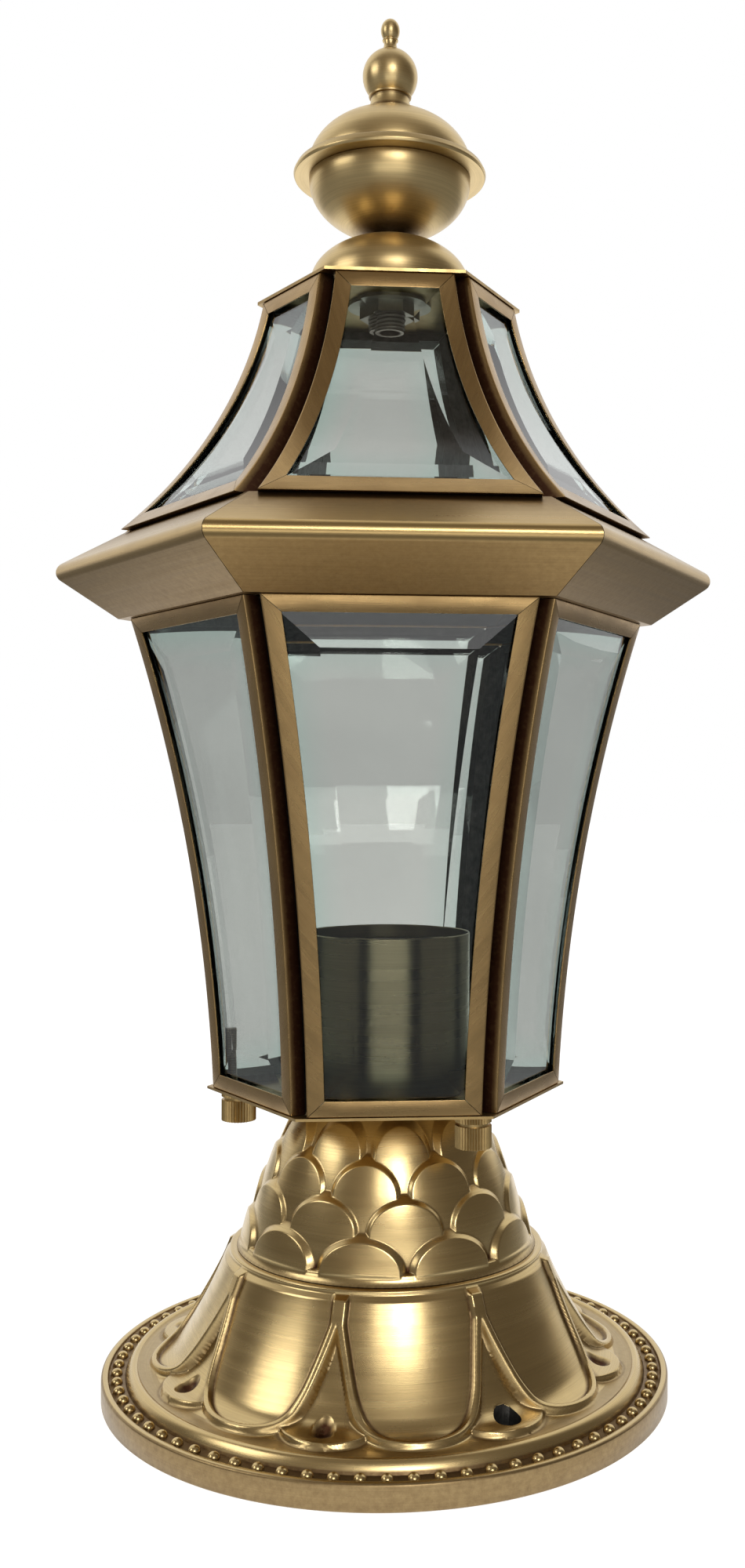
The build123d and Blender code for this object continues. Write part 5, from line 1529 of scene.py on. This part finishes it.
def add_floor(settings):
    """Floor just under the foot."""
    half, below = settings.floor_size / 2, 0.2 * MM
    corners = [(-half, -half, 0), (half, -half, 0), (half, half, 0), (-half, half, 0)]
    mesh = bpy.data.meshes.new("floor")
    mesh.from_pydata(corners, [], [(0, 1, 2, 3)])
    mesh.materials.append(stage_material(settings))
    floor = bpy.data.objects.new("floor", mesh)
    floor.location.z = -below
    bpy.context.scene.collection.objects.link(floor)


def add_camera(settings):
    """Camera at the photograph's place, its optical axis off the picture's middle as there."""
    scene = bpy.context.scene
    data = bpy.data.cameras.new("camera")
    data.sensor_width = 36.0
    data.lens = data.sensor_width * settings.focal / IMAGE_HEIGHT
    data.clip_start, data.clip_end = 0.01, 50.0
    data.shift_x = (IMAGE_WIDTH / 2 - settings.center_x) / IMAGE_HEIGHT
    data.shift_y = (settings.center_y - IMAGE_HEIGHT / 2) / IMAGE_HEIGHT
    camera = bpy.data.objects.new("camera", data)
    scene.collection.objects.link(camera)
    turned = Matrix.Rotation(-settings.turn, 4, "Z")
    camera.location = turned @ Vector((-settings.aside, -settings.distance, settings.height))
    look = turned @ Matrix.Rotation(math.pi / 2, 4, "X") @ Matrix.Rotation(settings.roll, 4, "Z")
    camera.rotation_euler = look.to_euler()
    scene.camera = camera


class PILLARLIGHT_OT_stage(bpy.types.Operator):
    """White floor, soft lamps and the camera at the photograph's place"""

    bl_idname = "pillar_light.stage"
    bl_label = "Stage"

    def execute(self, context):
        settings = context.scene.pillar_light.stage
        context.scene.view_settings.view_transform = "Standard"
        add_floor(settings)
        room_world(settings.room)
        for name, (place, target, size, power) in LAMPS.items():
            soft_lamp(name, place, target, size, power)
        add_camera(settings)
        return {"FINISHED"}


class PILLARLIGHT_PT_build(bpy.types.Panel):
    """Lists the light's pieces"""

    bl_idname = "PILLARLIGHT_PT_build"
    bl_label = "Pillar light"
    bl_space_type = "VIEW_3D"
    bl_region_type = "UI"
    bl_category = "Pillar light"

    def draw(self, context):
        for operator in OPERATORS:
            self.layout.operator(operator.bl_idname)
        settings = context.scene.pillar_light
        for group in (settings.foot, settings.dome, settings.glass, settings.finish, settings.stage):
            box = self.layout.box()
            for key in group.__annotations__:
                box.prop(group, key)


OPERATORS = (
    PILLARLIGHT_OT_stage, PILLARLIGHT_OT_foot, PILLARLIGHT_OT_dome, PILLARLIGHT_OT_frames,
    PILLARLIGHT_OT_panes, PILLARLIGHT_OT_eave, PILLARLIGHT_OT_urn, PILLARLIGHT_OT_threads,
    PILLARLIGHT_OT_hardware,
)
CLASSES = (
    FootSettings, DomeSettings, GlassSettings, FinishSettings, StageSettings, PillarLightSettings, *OPERATORS,
    PILLARLIGHT_PT_build,
)


def register():
    """Registers the classes and their settings."""
    for item in CLASSES:
        bpy.utils.register_class(item)
    bpy.types.Scene.pillar_light = PointerProperty(type=PillarLightSettings)


def unregister():
    """Removes the settings and the classes."""
    del bpy.types.Scene.pillar_light
    for item in reversed(CLASSES):
        bpy.utils.unregister_class(item)


def main():
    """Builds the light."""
    register()
    make_finishes(bpy.context.scene.pillar_light)
    build = bpy.ops.pillar_light
    build.stage()
    build.foot()
    build.dome()
    build.frames()
    build.panes()
    build.eave()
    build.urn()
    build.threads()
    build.hardware()
    bpy.context.view_layer.update()


if __name__ == "__main__":
    main()
